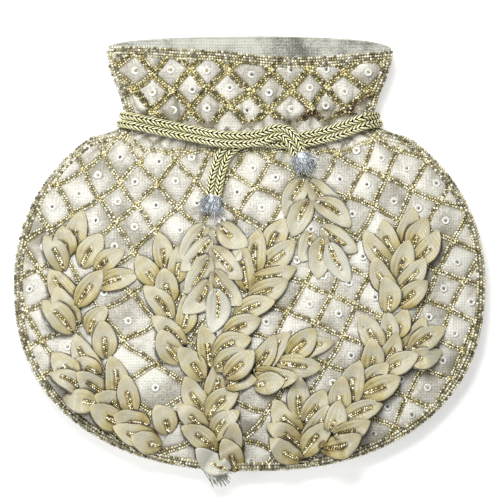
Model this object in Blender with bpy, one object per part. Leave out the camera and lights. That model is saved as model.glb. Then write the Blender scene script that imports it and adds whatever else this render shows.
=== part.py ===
"""Potli bag: a beaded silk drawstring pouch that lies on its back, its mouth towards +Y.

Metres, +Z up. The origin is under the middle of the pouch, on the surface it lies on.
Front and back are cut sheets sewn together round their edge, so each is a height over
the XY plane. Sizes along the drawn face are read from a face of 0.5 mm a pixel.
"""

import math

import bmesh
import bpy
from mathutils import Vector
from mathutils.geometry import delaunay_2d_cdt

# Round body, measured over the beaded edge
POUCH_WIDTH = 0.2355
POUCH_BELOW = 0.0928
POUCH_ABOVE = 0.0962
WIDEST_Y = -0.0160
ROUND_BELOW = 2.3
ROUND_ABOVE = 2.15

# Neck, drawn in by the cord, and the frill that flares above it
NECK_Y = 0.0650
NECK_WIDTH = 0.1230
NECK_BLEND = 0.0060
SEAT_LOW = 0.0627
SEAT_HIGH = 0.0712
SEAT_SLOPE = 4.0
SEAT_BLEND = 0.0012
MOUTH_WIDTH = 0.1430
MOUTH_FRONT_Y = 0.1010
MOUTH_BACK_Y = 0.1087
MOUTH_SLOPE = 0.0015
MOUTH_DIP = 0.0016
MOUTH_DIP_X = 0.0220
MOUTH_DIP_REACH = 0.0500
MOUTH_BACK_ARCH = 0.0030

# Heights: the seam all round, and how far each sheet swells from it
RIM_Z = 0.0125
SEAM_RISE = 0.0002
BELLY_FRONT = 0.0160
NECK_FRONT = 0.0090
MOUTH_FRONT = 0.0125
BELLY_BACK = 0.0165
NECK_BACK = 0.0045
MOUTH_BACK = 0.0085
BOTTOM_POWER = 2.4
BOTTOM_ROOT = 0.6
SIDE_POWER = (2.2, 4.0)
SIDE_ROOT = (0.65, 0.50)

# Cloth and what is sewn on it
CLOTH = 0.0012
LINING = 0.0007
LAYER_GAP = 0.0004
SEAM_GAP = 0.0003
PIPING_RADIUS = 0.0013
TRIM_RADIUS = 0.0011
LINING_SEAM = 0.0045
LINING_DROP = 0.0048
CLOTH_STEP = 0.0185
EDGE_STEP = 0.0115
EDGE_CLEAR = 0.0040
TRIM_STEP = 0.0085

# Bead lattice: half diagonals of a diamond, and the height of its rows and puffs
DIAMOND_U = 0.0115
DIAMOND_V = 0.0114
LATTICE_U = 0.0916
LATTICE_V = -0.0676
LEAN = 0.447
LEAN_X = -0.0455
LEAN_WIDTH = 0.0470
COLUMN_LEAN = 0.69
FRILL_DIAMOND_U = 0.0098
FRILL_DIAMOND_V = 0.0095
FRILL_LATTICE_V = 0.0915
FRILL_LOW = 0.0760
LATTICE_TOP = 0.0460
LATTICE_END = 0.0620
LATTICE_OVER = 0.0020
SHOULDER_X = 0.0640
ROW_HEIGHT = 0.0013
ROW_SHARE = 0.21
PUFF_HEIGHT = 0.0013

# Gathers at the neck and soft folds of the frill
PLEATS = 15
PLEAT_DEPTH = 0.0014
PLEAT_LOW = 0.0480
PLEAT_HIGH = 0.0820
PLEAT_FADE = 0.0120
FRILL_FOLDS = 5
FOLD_DEPTH = 0.0012
FOLD_SHIFT = 0.6
PLEAT_BACKING = 0.0012

# Drawstring: a doubled cord
CORD_DIAMETER = 0.0038
CORD_SPACING = 0.0043
CORD_GAP = 0.0004
BINDING_LENGTH = 0.0065
BINDING_WIDTH = 0.0082
BINDING_DEPTH = 0.0050

# Cloth leaves on stems
LEAF_LENGTH = 0.0168
LEAF_WIDTH = 0.0080
LEAF_THICKNESS = 0.0011
LEAF_SPACING = 0.0092
LEAF_ANGLE = math.radians(38)
LEAF_ROLL = math.radians(13)
LEAF_LIFT = 0.0020
STEM_RADIUS = 0.0008
STEM_RISE = 0.0024
STEM_STEP = 0.0130
TASSEL_SPACING = 0.0125
TASSEL_RISE = 0.0032

PIXEL = 0.0005
FACE_CENTRE = (249.5, 253.5)

TASSEL_OVER = {"left": 0.0016, "right": 0.0}

# Leaf sprays on the face: the stem in pixels, then the stretch of it that bears leaves
# on its left and on its right, as shares of its length
SPRAYS = {
    "leaf_spray_left": (
        ((194, 449), (183, 446), (153, 437), (136, 413), (115, 397), (98, 370), (89, 338),
         (79, 306), (71, 278), (71, 254)), (0.04, 0.94), (0.20, 0.97)),
    "leaf_spray_middle": (
        ((222, 460), (215, 439), (207, 421), (209, 402), (201, 378), (186, 347), (172, 320),
         (169, 298), (167, 280)), (0.10, 0.92), (0.06, 0.36)),
    "leaf_spray_centre": (
        ((217, 364), (226, 349), (237, 327), (247, 303), (254, 280)), (0.0, 0.0), (0.10, 0.97)),
    "leaf_spray_arm": (
        ((234, 379), (254, 372), (270, 366), (284, 360), (298, 354)),
        (0.28, 0.95), (0.12, 0.97)),
    "leaf_spray_upright": (
        ((302, 458), (303, 438), (300, 423)), (0.15, 0.95), (0.35, 0.95)),
    "leaf_spray_lower_right": (
        ((312, 455), (326, 446), (343, 420), (353, 401), (366, 378), (379, 357), (389, 338)),
        (0.25, 0.95), (0.06, 0.95)),
    "leaf_spray_upper_right": (
        ((403, 316), (398, 300), (397, 285), (399, 268), (402, 252)), (0.10, 0.95), (0.08, 0.95)),
}
TASSELS = {
    "left": ((211, 240), (210, 270), (210, 300), (208, 322)),
    "right": ((311, 199), (318, 221), (322, 236), (326, 250)),
}

# Route of the doubled cord in millimetres: across the face, round the back, across again.
# The third number is how far it is lifted off the cloth, and round the back its height.
CORD_RISE = CORD_DIAMETER / 2 + CORD_GAP
UNDER_PASS = (
    (-18.2, 28.6, 0.6), (-17.2, 35.0, 0.0), (-15.6, 42.0, 0.0), (-12.6, 49.4, 0.0),
    (-7.2, 55.0, 0.0), (0.5, 57.4, 0.0), (9.0, 57.2, 0.0), (17.0, 56.6, 0.0), (25.5, 56.8, 0.0),
    (34.5, 58.6, 0.0), (44.0, 61.0, 0.0), (52.0, 64.0, 0.4), (57.6, 66.0, 1.5))
OVER_PASS = (
    (-57.6, 66.0, 1.5), (-51.0, 64.6, 0.4), (-42.0, 62.6, 0.0), (-32.0, 60.6, 0.0),
    (-24.0, 59.0, 1.2), (-16.5, 57.6, 3.8), (-9.0, 57.0, 4.3), (-1.0, 57.0, 4.3),
    (7.0, 58.4, 4.3), (13.0, 60.6, 4.3), (18.4, 60.0, 4.3), (22.4, 55.4, 4.9),
    (24.8, 49.8, 3.8))
ROUND_THE_BACK = (
    (63.0, 66.9, 17.8), (64.1, 66.9, 12.4), (62.4, 66.9, 7.2), (57.0, 66.9, 4.2),
    (47.0, 66.8, 3.3), (33.0, 66.6, 3.0), (16.0, 66.6, 2.9), (0.0, 66.6, 2.9),
    (-16.0, 66.6, 2.9), (-33.0, 66.6, 3.0), (-47.0, 66.8, 3.3), (-57.0, 66.9, 4.2),
    (-62.4, 66.9, 7.2), (-64.1, 66.9, 12.4), (-63.0, 66.9, 17.8))
CORD_STEP = 0.0110
CORD_BEND = math.radians(20)


def ease(value):
    """Smooth 0 to 1."""
    value = min(1.0, max(0.0, value))
    return value * value * (3 - 2 * value)


def on_face(px, py):
    """Metres from a pixel of the drawn face."""
    return (px - FACE_CENTRE[0]) * PIXEL, (FACE_CENTRE[1] - py) * PIXEL


def half_width(y):
    """Half the width of the pouch at height y, over the beaded edge."""
    if y < WIDEST_Y:
        reach = min(1.0, (WIDEST_Y - y) / POUCH_BELOW)
        return POUCH_WIDTH / 2 * (1 - reach ** ROUND_BELOW) ** (1 / ROUND_BELOW)
    reach = min(1.0, (y - WIDEST_Y) / POUCH_ABOVE)
    body = POUCH_WIDTH / 2 * (1 - reach ** ROUND_ABOVE) ** (1 / ROUND_ABOVE)
    flare = ease((y - NECK_Y) / (MOUTH_FRONT_Y - NECK_Y))
    throat = NECK_WIDTH / 2 + (MOUTH_WIDTH - NECK_WIDTH) / 2 * flare
    free = (body + throat + math.hypot(body - throat, NECK_BLEND)) / 2
    outside = max(0.0, SEAT_LOW - y, y - SEAT_HIGH)
    held = NECK_WIDTH / 2 + SEAT_SLOPE * outside
    return (free + held - math.hypot(free - held, SEAT_BLEND)) / 2


def swell(x, y, belly, neck, mouth):
    """How far a sheet stands off the seam at a point."""
    if y < WIDEST_Y:
        reach = min(1.0, (WIDEST_Y - y) / POUCH_BELOW)
        middle = belly * (1 - reach ** BOTTOM_POWER) ** BOTTOM_ROOT
    elif y < NECK_Y:
        middle = belly + (neck - belly) * ease((y - WIDEST_Y) / (NECK_Y - WIDEST_Y))
    else:
        middle = neck + (mouth - neck) * ease((y - NECK_Y) / (MOUTH_FRONT_Y - NECK_Y))
    across = min(1.0, abs(x) / max(half_width(y), 1e-6))
    drawn_in = ease((y - WIDEST_Y) / (NECK_Y - WIDEST_Y))
    power = SIDE_POWER[0] + (SIDE_POWER[1] - SIDE_POWER[0]) * drawn_in
    root = SIDE_ROOT[0] + (SIDE_ROOT[1] - SIDE_ROOT[0]) * drawn_in
    return middle * (1 - across ** power) ** root


def gathers(x, y):
    """Pleats under and over the cord, and the soft folds of the frill."""
    across = max(-1.0, min(1.0, x / max(half_width(y), 1e-6)))
    tight = ease((y - PLEAT_LOW) / PLEAT_FADE) * ease((PLEAT_HIGH - y) / PLEAT_FADE)
    pleat = math.cos(math.pi * PLEATS * across) * PLEAT_DEPTH * tight
    loose = ease((y - NECK_Y) / (2 * PLEAT_FADE))
    fold = math.sin(math.pi * FRILL_FOLDS * across + FOLD_SHIFT) * FOLD_DEPTH
    return pleat + fold * loose * (1 - across ** 4)


def front_height(x, y):
    """Outer face of the front sheet, without its bead rows."""
    return RIM_Z + SEAM_RISE + swell(x, y, BELLY_FRONT, NECK_FRONT, MOUTH_FRONT) + gathers(x, y)


def back_height(x, y):
    """Outer face of the back sheet, flattened where the pouch lies on it."""
    hang = swell(x, y, BELLY_BACK, NECK_BACK, MOUTH_BACK)
    return max(0.0, RIM_Z - SEAM_RISE - hang - gathers(x, y))


def cloth_depth(y):
    """Thickness of a sheet: the bunched cloth of the neck is thicker."""
    return CLOTH + PLEAT_BACKING * ease((y - PLEAT_LOW) / PLEAT_FADE)


def outline(inset, mouth_y):
    """Edge of a sheet, anticlockwise from the left of its mouth, drawn in by a margin."""
    levels = []
    turns = int(math.pi / 2 * POUCH_BELOW / EDGE_STEP) + 4
    for turn in range(turns):
        levels.append(WIDEST_Y - POUCH_BELOW * math.cos(math.pi / 2 * turn / turns))
    shoulder = SEAT_LOW - EDGE_CLEAR
    steps = int((shoulder - WIDEST_Y) / EDGE_STEP) + 2
    for rise in range(steps + 1):
        levels.append(WIDEST_Y + (shoulder - WIDEST_Y) * rise / steps)
    levels += [SEAT_LOW, SEAT_HIGH]
    above = SEAT_HIGH + EDGE_CLEAR
    for rise in range(4):
        levels.append(above + (mouth_y - above) * rise / 3)
    right = [(half_width(y), y) for y in levels]
    ring = [(-x, y) for x, y in reversed(right[1:])] + right
    drawn = []
    for index, (x, y) in enumerate(ring):
        before = Vector(ring[max(0, index - 1)])
        after = Vector(ring[min(len(ring) - 1, index + 1)])
        along = (after - before).normalized()
        drawn.append((x - along.y * inset, y + along.x * inset))
    return drawn


def front_mouth(x):
    """Edge of the front at the mouth: it slopes to the right and dips there."""
    off = min(1.0, abs(x - MOUTH_DIP_X) / MOUTH_DIP_REACH)
    slope = MOUTH_SLOPE * ease(x / MOUTH_WIDTH + 0.5)
    return MOUTH_FRONT_Y - slope - MOUTH_DIP * math.cos(math.pi * off)


def lattice_to_face(u, v):
    """Where a point of the flat embroidered cloth lies once the pouch is drawn in."""
    x = u
    for _ in range(60):
        slope = LEAN * math.tanh((x - LEAN_X) / LEAN_WIDTH)
        y = v + LEAN * LEAN_WIDTH * math.log(math.cosh((x - LEAN_X) / LEAN_WIDTH))
        x = 0.5 * x + 0.5 * (u - COLUMN_LEAN * slope * y)
    return x, y


def face_to_lattice(x, y):
    """The flat cloth's point for a point of the drawn-in pouch."""
    slope = LEAN * math.tanh((x - LEAN_X) / LEAN_WIDTH)
    v = y - LEAN * LEAN_WIDTH * math.log(math.cosh((x - LEAN_X) / LEAN_WIDTH))
    return x + COLUMN_LEAN * slope * y, v


def body_cells():
    """Diamonds of the body's lattice: their middles on the face, by column and row."""
    cells = {}
    for column in range(-24, 6):
        for row in range(-12, 14):
            if (column + row) % 2:
                continue
            x, y = lattice_to_face(LATTICE_U + column * DIAMOND_U, LATTICE_V + row * DIAMOND_V)
            if not WIDEST_Y - POUCH_BELOW < y < LATTICE_END:
                continue
            if abs(x) > half_width(y) + LATTICE_OVER:
                continue
            if y < LATTICE_TOP or abs(x) > SHOULDER_X:
                cells[column, row] = (x, y)
    return cells


def frill_cells():
    """Diamonds of the frill's lattice."""
    cells = {}
    for column in range(-9, 10):
        for row in range(-3, 4):
            if (column + row) % 2:
                continue
            x = column * FRILL_DIAMOND_U
            y = FRILL_LATTICE_V + row * FRILL_DIAMOND_V
            if FRILL_LOW < y < MOUTH_BACK_Y and abs(x) < half_width(y):
                cells[column, row] = (x, y)
    return cells


BODY_CELLS = body_cells()
FRILL_CELLS = frill_cells()


def cell_relief(p, q, cells):
    """Height of bead row and puffed silk at a lattice point, or 0 outside the cells."""
    for column in (math.floor(p), math.floor(p) + 1):
        for row in (math.floor(q), math.floor(q) + 1):
            inside = 1 - abs(p - column) - abs(q - row)
            if (column, row) in cells and inside > -0.03:
                inside = max(0.0, inside)
                if inside < ROW_SHARE:
                    return ROW_HEIGHT * (1 - inside / ROW_SHARE)
                return PUFF_HEIGHT * math.sin(math.pi / 2 * (inside - ROW_SHARE) / (1 - ROW_SHARE))
    return 0.0


def relief(x, y):
    """Bead rows and puffs over the front sheet."""
    u, v = face_to_lattice(x, y)
    p, q = (u - LATTICE_U) / DIAMOND_U, (v - LATTICE_V) / DIAMOND_V
    body = cell_relief(p, q, BODY_CELLS)
    frill = cell_relief(x / FRILL_DIAMOND_U, (y - FRILL_LATTICE_V) / FRILL_DIAMOND_V, FRILL_CELLS)
    return max(body, frill)


def material(name, colour, roughness, metallic=0.0):
    """Principled material of one colour."""
    made = bpy.data.materials.new(name)
    made.use_nodes = True
    shader = made.node_tree.nodes["Principled BSDF"]
    shader.inputs["Base Color"].default_value = (*colour, 1)
    shader.inputs["Roughness"].default_value = roughness
    shader.inputs["Metallic"].default_value = metallic
    return made


def add_object(name, mesh, finish):
    """Object in the pouch's collection, with its material."""
    made = bpy.data.objects.new(name, mesh)
    made.data.materials.clear()
    made.data.materials.append(finish)
    POUCH.objects.link(made)
    return made


def triangulate(edge, points, lines):
    """Flat triangles inside an edge loop that keep the given points and lines."""
    count = len(edge)
    corners = [Vector(point) for point in edge]
    constraints = [(index, (index + 1) % count) for index in range(count)]
    for point in points:
        corners.append(Vector(point))
    for line in lines:
        first = len(corners)
        corners.extend(Vector(point) for point in line)
        constraints.extend((first + step, first + step + 1) for step in range(len(line) - 1))
    cut = delaunay_2d_cdt(corners, constraints, [list(range(count))], 1, 4e-4)
    inside = [face for face, sources in zip(cut[2], cut[5]) if sources]
    used = sorted({corner for face in inside for corner in face})
    renumber = {corner: index for index, corner in enumerate(used)}
    places = [cut[0][corner] for corner in used]
    return places, [[renumber[corner] for corner in face] for face in inside]


def edge_loop(faces):
    """Boundary of a patch of faces, in order."""
    after = {}
    used = {(face[k - 1], face[k]) for face in faces for k in range(len(face))}
    for start, end in used:
        if (end, start) not in used:
            after[start] = end
    first = next(iter(after))
    loop = [first]
    while after[loop[-1]] != first:
        loop.append(after[loop[-1]])
    return loop


def grid_points(ring, margin):
    """Even points inside a ring, kept off its edge."""
    inside = []
    low = min(y for _, y in ring)
    high = max(y for _, y in ring)
    rows = int((high - low) / CLOTH_STEP)
    for row in range(1, rows):
        y = low + (high - low) * row / rows
        reach = half_width(y) - margin
        columns = max(1, round(2 * reach / CLOTH_STEP))
        for column in range(columns + 1):
            inside.append((-reach + 2 * reach * column / columns, y))
    return inside


def sheet(name, finish, ring, points, lines, outer, inner, inner_points, inner_line):
    """A sheet of cloth: its outer face follows points and lines, its inner one is plainer."""
    flat, faces = triangulate(ring, points, lines)
    body = bmesh.new()
    top = [body.verts.new((p.x, p.y, outer(p.x, p.y))) for p in flat]
    for face in faces:
        body.faces.new([top[corner] for corner in face])
    loop = edge_loop(faces)
    rim = [flat[corner] for corner in loop]
    under_flat, under_faces = triangulate([(p.x, p.y) for p in rim], inner_points, [inner_line])
    under = [body.verts.new((p.x, p.y, inner(p.x, p.y))) for p in under_flat]
    for face in under_faces:
        body.faces.new([under[corner] for corner in reversed(face)])
    for step, corner in enumerate(loop):
        following = loop[(step + 1) % len(loop)]
        low, low_next = under[step], under[(step + 1) % len(loop)]
        body.faces.new((top[following], top[corner], low, low_next))
    bmesh.ops.recalc_face_normals(body, faces=body.faces)
    bmesh.ops.triangulate(body, faces=body.faces)
    mesh = bpy.data.meshes.new(name)
    body.to_mesh(mesh)
    body.free()
    add_object(name, mesh, finish)
    return under_flat, [face for face in under_faces if min(face) >= len(rim)]


def lining(name, finish, flat, faces, outer, thickness):
    """Thin sheet that backs the inner face of a panel, clear of its seams."""
    body = bmesh.new()
    used = sorted({corner for face in faces for corner in face})
    top = {c: body.verts.new((flat[c].x, flat[c].y, outer(flat[c].x, flat[c].y))) for c in used}
    under = {c: body.verts.new(top[c].co + Vector((0, 0, thickness))) for c in used}
    for face in faces:
        body.faces.new([top[corner] for corner in face])
        body.faces.new([under[corner] for corner in reversed(face)])
    loop = edge_loop(faces)
    for corner, following in zip(loop, loop[1:] + loop[:1]):
        body.faces.new((top[following], top[corner], under[corner], under[following]))
    bmesh.ops.recalc_face_normals(body, faces=body.faces)
    mesh = bpy.data.meshes.new(name)
    body.to_mesh(mesh)
    body.free()
    add_object(name, mesh, finish)


def sheet_ring(inset, mouth, mouth_drop):
    """Edge of a sheet with its mouth edge, whose height is a function of x."""
    sides = [point for point in outline(inset, MOUTH_FRONT_Y) if point[1] < mouth(point[0])]
    top = MOUTH_FRONT_Y - mouth_drop
    sides = [point for point in sides if point[1] < top - EDGE_CLEAR]
    corner = half_width(top) - inset
    closing = []
    pieces = 14
    for piece in range(pieces + 1):
        x = corner - 2 * corner * piece / pieces
        closing.append((x, mouth(x) - mouth_drop))
    return sides + closing


def cell_lines():
    """Lines of the front's relief: the crests of the bead rows and the feet of the puffs."""
    lines = []
    corners = ((1, 0), (0, 1), (-1, 0), (0, -1))
    foot = 1 - ROW_SHARE
    crests = set()
    for cells, place in ((BODY_CELLS, body_place), (FRILL_CELLS, frill_place)):
        for column, row in cells:
            ring = [place(column + p * foot, row + q * foot) for p, q in corners]
            lines.append(ring + ring[:1])
            for step in range(4):
                ends = sorted((column + p, row + q) for p, q in (corners[step], corners[step - 1]))
                crests.add((place, ends[0], ends[1]))
    for place, start, end in sorted(crests, key=lambda crest: (crest[0].__name__, crest[1:])):
        lines.append([place(*start), place(*end)])
    return lines


def body_place(column, row):
    return lattice_to_face(LATTICE_U + column * DIAMOND_U, LATTICE_V + row * DIAMOND_V)


def frill_place(column, row):
    return column * FRILL_DIAMOND_U, FRILL_LATTICE_V + row * FRILL_DIAMOND_V


def pleat_lines(levels):
    """Crests and valleys of the gathers."""
    lines = []
    for count in range(1, 2 * PLEATS):
        across = count / PLEATS - 1
        lines.append([(across * half_width(y), y) for y in levels])
    return lines


def inside_seam(line):
    """The points of a line that lie clear of the side seams."""
    return [point for point in line if abs(point[0]) < half_width(point[1]) - EDGE_CLEAR]


def tube(name, points, radius, sides, finish):
    """Round cord along points, with closed ends."""
    data = bpy.data.curves.new(name, "CURVE")
    data.dimensions = "3D"
    data.bevel_depth = radius
    data.bevel_resolution = sides
    data.use_fill_caps = True
    spline = data.splines.new("POLY")
    spline.points.add(len(points) - 1)
    for slot, point in zip(spline.points, points):
        slot.co = (*point, 1)
    made = bpy.data.objects.new(name, data)
    made.data.materials.append(finish)
    POUCH.objects.link(made)
    return made


def as_mesh(source):
    """Mesh of an object as its modifiers leave it, with its loose caps welded."""
    bpy.context.view_layer.update()
    evaluated = source.evaluated_get(bpy.context.evaluated_depsgraph_get())
    mesh = bpy.data.meshes.new_from_object(evaluated)
    mesh.transform(source.matrix_world)
    body = bmesh.new()
    body.from_mesh(mesh)
    bmesh.ops.remove_doubles(body, verts=body.verts, dist=1e-6)
    body.to_mesh(mesh)
    body.free()
    return mesh


def fine_path(points):
    """Close points on the smooth curve through a route."""
    route = [Vector(point) for point in points]
    fine = []
    for index in range(len(route) - 1):
        before = route[max(0, index - 1)]
        start, end = route[index], route[index + 1]
        after = route[min(len(route) - 1, index + 2)]
        for part in range(24):
            t = part / 24
            fine.append(0.5 * ((2 * start) + (end - before) * t
                               + (2 * before - 5 * start + 4 * end - after) * t * t
                               + (3 * start - before - 3 * end + after) * t ** 3))
    fine.append(route[-1])
    return fine


def smooth_path(points, spacing):
    """Points at even spacing on the smooth curve through a route."""
    fine = fine_path(points)
    travelled = [0.0]
    for start, end in zip(fine, fine[1:]):
        travelled.append(travelled[-1] + (end - start).length)
    pieces = max(2, round(travelled[-1] / spacing))
    even = []
    index = 0
    for piece in range(pieces + 1):
        goal = travelled[-1] * piece / pieces
        while index < len(fine) - 2 and travelled[index + 1] < goal:
            index += 1
        step = travelled[index + 1] - travelled[index]
        even.append(fine[index].lerp(fine[index + 1], (goal - travelled[index]) / step))
    return even


def bend_path(points):
    """Points on the smooth curve through a route, closer together where it bends."""
    fine = fine_path(points)
    kept = [fine[0]]
    ahead = (fine[1] - fine[0]).normalized()
    travelled = 0.0
    for start, end in zip(fine, fine[1:]):
        travelled += (end - start).length
        turned = ahead.angle((end - start).normalized())
        if travelled >= CORD_STEP or turned >= CORD_BEND:
            kept.append(end)
            ahead = (end - start).normalized()
            travelled = 0.0
    if travelled < CORD_STEP / 2:
        kept.pop()
    kept.append(fine[-1])
    return kept


def side_by_side(centre, offset):
    """A line beside a route, in the flat of the doubled cord."""
    moved = []
    across = Vector((1, 0, 0))
    for index, point in enumerate(centre):
        ahead = centre[min(index + 1, len(centre) - 1)] - centre[max(index - 1, 0)]
        ahead.normalize()
        across = (across - ahead * across.dot(ahead)).normalized()
        moved.append(point + across * offset)
    return moved


def cord_centre():
    """Middle of the doubled cord, from the left tassel round the neck to the right one."""
    route = []
    for x, y, lift in UNDER_PASS:
        x, y = x / 1000, y / 1000
        route.append((x, y, cord_floor(x, y) + CORD_RISE + lift / 1000))
    route += [(x / 1000, y / 1000, z / 1000) for x, y, z in ROUND_THE_BACK]
    for x, y, lift in OVER_PASS:
        x, y = x / 1000, y / 1000
        route.append((x, y, cord_floor(x, y) + CORD_RISE + lift / 1000))
    return bend_path(route)


def cord_floor(x, y):
    """Highest the front cloth reaches under the cord, its crests and bead rows included."""
    reach = CORD_SPACING
    spots = [(x * share, y + step) for share in (0.96, 1) for step in (-reach, 0, reach)]
    smooth = max(front_height(*spot) - gathers(*spot) for spot in spots)
    return smooth + (PLEAT_DEPTH if y > PLEAT_LOW else ROW_HEIGHT)


def leaf(name, group, foot, heading, length, roll, lift, ground):
    """Cloth leaf: a thin lens, creased along its middle, that rises off the face."""
    body = bmesh.new()
    bmesh.ops.create_uvsphere(body, u_segments=4, v_segments=3, radius=1)
    ahead = Vector((math.cos(heading), math.sin(heading)))
    aside = Vector((-ahead.y, ahead.x))
    base = foot[2] - ground(foot[0], foot[1])
    for corner in body.verts:
        along = (corner.co.z + 1) / 2
        spread = 1.12 if 0.1 < along < 0.5 else 0.95
        side = corner.co.x * LEAF_WIDTH / 2 * spread / math.sin(math.pi / 3)
        thick = corner.co.y * LEAF_THICKNESS / 2 / math.sin(math.pi / 3)
        spot = ahead * (along * length) + aside * (side * math.cos(roll))
        x, y = foot[0] + spot.x, foot[1] + spot.y
        corner.co = (x, y, ground(x, y) + base + lift * along + thick + side * math.sin(roll))
    mesh = bpy.data.meshes.new(name)
    body.to_mesh(mesh)
    body.free()
    made = bpy.data.objects.new(name, mesh)
    made.hide_render = True
    made.display_type = "WIRE"
    group.objects.link(made)


def frond(name, finish, stem, spacing, left, right, tip_length, ground):
    """Stem with leaves on both sides and one at its end, joined into one solid."""
    group = bpy.data.collections.new(name + "_leaves")
    CUTTERS.children.link(group)
    length = sum((end - start).length for start, end in zip(stem, stem[1:]))
    for side, (first, last) in ((1, left), (-1, right)):
        count = int((last - first) * length / spacing) + 1 if last > first else 0
        for number in range(count):
            share = first + (last - first) * number / max(1, count - 1)
            foot, ahead = along_path(stem, share * length)
            foot += Vector((-ahead.y, ahead.x, 0)) * side * STEM_RADIUS * 0.4
            sway = math.sin(2.4 * number + side)
            heading = math.atan2(ahead.y, ahead.x) + side * LEAF_ANGLE * (1 + 0.12 * sway)
            leaf(f"{name}_{side}_{number}", group, foot, heading, LEAF_LENGTH * (1 + 0.05 * sway),
                 -side * LEAF_ROLL, LEAF_LIFT, ground)
    foot, ahead = along_path(stem, length * 0.995)
    heading = math.atan2(ahead.y, ahead.x)
    leaf(f"{name}_tip", group, foot, heading, tip_length, 0.0, LEAF_LIFT, ground)
    rod = tube(name + "_stem", stem, STEM_RADIUS, 0, finish)
    stem_mesh = as_mesh(rod)
    bpy.data.objects.remove(rod)
    made = add_object(name, stem_mesh, finish)
    for blade in group.objects:
        join = made.modifiers.new(f"Join {blade.name}", "BOOLEAN")
        join.operation = "UNION"
        join.object = blade
        join.solver = "MANIFOLD"
    return made


def along_path(path, distance):
    """Point and direction at a distance along a path."""
    for start, end in zip(path, path[1:]):
        step = (end - start).length
        if distance <= step:
            return start.lerp(end, distance / step), (end - start).normalized()
        distance -= step
    return path[-1].copy(), (path[-1] - path[-2]).normalized()


def binding(name, top, bottom, finish):
    """Thread wound round the ends of the doubled cord: a flattened barrel."""
    body = bmesh.new()
    made = bmesh.ops.create_uvsphere(body, u_segments=10, v_segments=6, radius=0.5)["verts"]
    axis = (bottom - top).normalized()
    aside = axis.cross(Vector((0, 0, 1))).normalized()
    depth = aside.cross(axis)
    middle = (top + bottom) / 2
    for corner in made:
        share = max(-0.43, min(0.43, corner.co.z)) / 0.43
        corner.co = (middle + axis * (share * BINDING_LENGTH / 2)
                     + aside * (corner.co.x * BINDING_WIDTH)
                     + depth * (corner.co.y * BINDING_DEPTH))
    bmesh.ops.remove_doubles(body, verts=body.verts, dist=1e-5)
    bmesh.ops.recalc_face_normals(body, faces=body.faces)
    mesh = bpy.data.meshes.new(name)
    body.to_mesh(mesh)
    body.free()
    return add_object(name, mesh, finish)


for old in list(bpy.data.objects):
    bpy.data.objects.remove(old)
POUCH = bpy.data.collections.new("potli_bag")
bpy.context.scene.collection.children.link(POUCH)
CUTTERS = bpy.data.collections.new("leaf_shapes")
bpy.context.scene.collection.children.link(CUTTERS)

SILK = material("ivory_silk", (0.62, 0.59, 0.50), 0.45)
LINING_SILK = material("lining_silk", (0.72, 0.71, 0.63), 0.6)
BEADS = material("gold_beads", (0.55, 0.46, 0.24), 0.3, 0.8)
CORD = material("zari_cord", (0.50, 0.44, 0.20), 0.5, 0.3)
THREAD = material("silver_thread", (0.60, 0.62, 0.66), 0.35, 0.7)
LEAF = material("organza_leaf", (0.58, 0.53, 0.36), 0.6)

PANEL_INSET = 2 * PIPING_RADIUS + SEAM_GAP
LINING_INSET = PANEL_INSET + LINING_SEAM


def back_mouth(x):
    return MOUTH_BACK_Y - MOUTH_BACK_ARCH * (2 * x / MOUTH_WIDTH) ** 2


def mouth_points(mouth):
    """Row of points just inside a mouth edge, where the lining ends."""
    reach = MOUTH_WIDTH / 2 - LINING_INSET
    row = [reach * (step / 4 - 1) for step in range(9)]
    return [(x, mouth(x) - LINING_DROP) for x in row]


def front_outer(x, y):
    return front_height(x, y) + relief(x, y)


def front_inner(x, y):
    return front_height(x, y) - gathers(x, y) - cloth_depth(y)


def back_inner(x, y):
    hang = swell(x, y, BELLY_BACK, NECK_BACK, MOUTH_BACK)
    return max(0.0, RIM_Z - SEAM_RISE - hang) + cloth_depth(y)


FRONT_RING = sheet_ring(PANEL_INSET, front_mouth, 2 * TRIM_RADIUS + SEAM_GAP)
BACK_RING = sheet_ring(PANEL_INSET, back_mouth, 0.0)
INNER_POINTS = grid_points(FRONT_RING, LINING_INSET)
BACK_POINTS = grid_points(BACK_RING, LINING_INSET)
CELL_MIDDLES = [place for cells in (BODY_CELLS, FRILL_CELLS) for place in cells.values()
                if abs(place[0]) < half_width(place[1]) - EDGE_CLEAR
                and place[1] < front_mouth(place[0]) - EDGE_CLEAR]
PLEAT_LEVELS = [PLEAT_LOW + (PLEAT_HIGH - PLEAT_LOW) * level / 3 for level in range(4)]

front_lined = sheet("front_panel", SILK, FRONT_RING, CELL_MIDDLES,
                    cell_lines() + [inside_seam(line) for line in pleat_lines(PLEAT_LEVELS)],
                    front_outer, front_inner, INNER_POINTS, mouth_points(front_mouth))
back_lined = sheet("back_panel", SILK, BACK_RING, BACK_POINTS,
                   [inside_seam(line) for line in pleat_lines(PLEAT_LEVELS)],
                   back_height, back_inner, BACK_POINTS, mouth_points(back_mouth))


def lining_front_outer(x, y):
    return front_inner(x, y) - LAYER_GAP


def lining_back_outer(x, y):
    return back_inner(x, y) + LAYER_GAP


lining("lining_front", LINING_SILK, *front_lined, lining_front_outer, -LINING)
lining("lining_back", LINING_SILK, *back_lined, lining_back_outer, LINING)

# Beaded piping over the side seams, from one corner of the mouth to the other
piping = [(x, y, RIM_Z) for x, y in outline(PIPING_RADIUS, MOUTH_FRONT_Y - PIPING_RADIUS)]
tube("rim_piping", piping, PIPING_RADIUS, 1, BEADS)

# Beaded band along the front edge of the mouth
trim_reach = half_width(MOUTH_FRONT_Y) - PANEL_INSET - TRIM_RADIUS
trim = []
for step in range(25):
    x = trim_reach * (step / 12 - 1)
    y = front_mouth(x) - TRIM_RADIUS
    trim.append((x, y, front_height(x, y) - CLOTH / 2))
tube("mouth_trim", smooth_path(trim, TRIM_STEP), TRIM_RADIUS, 1, BEADS)

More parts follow.
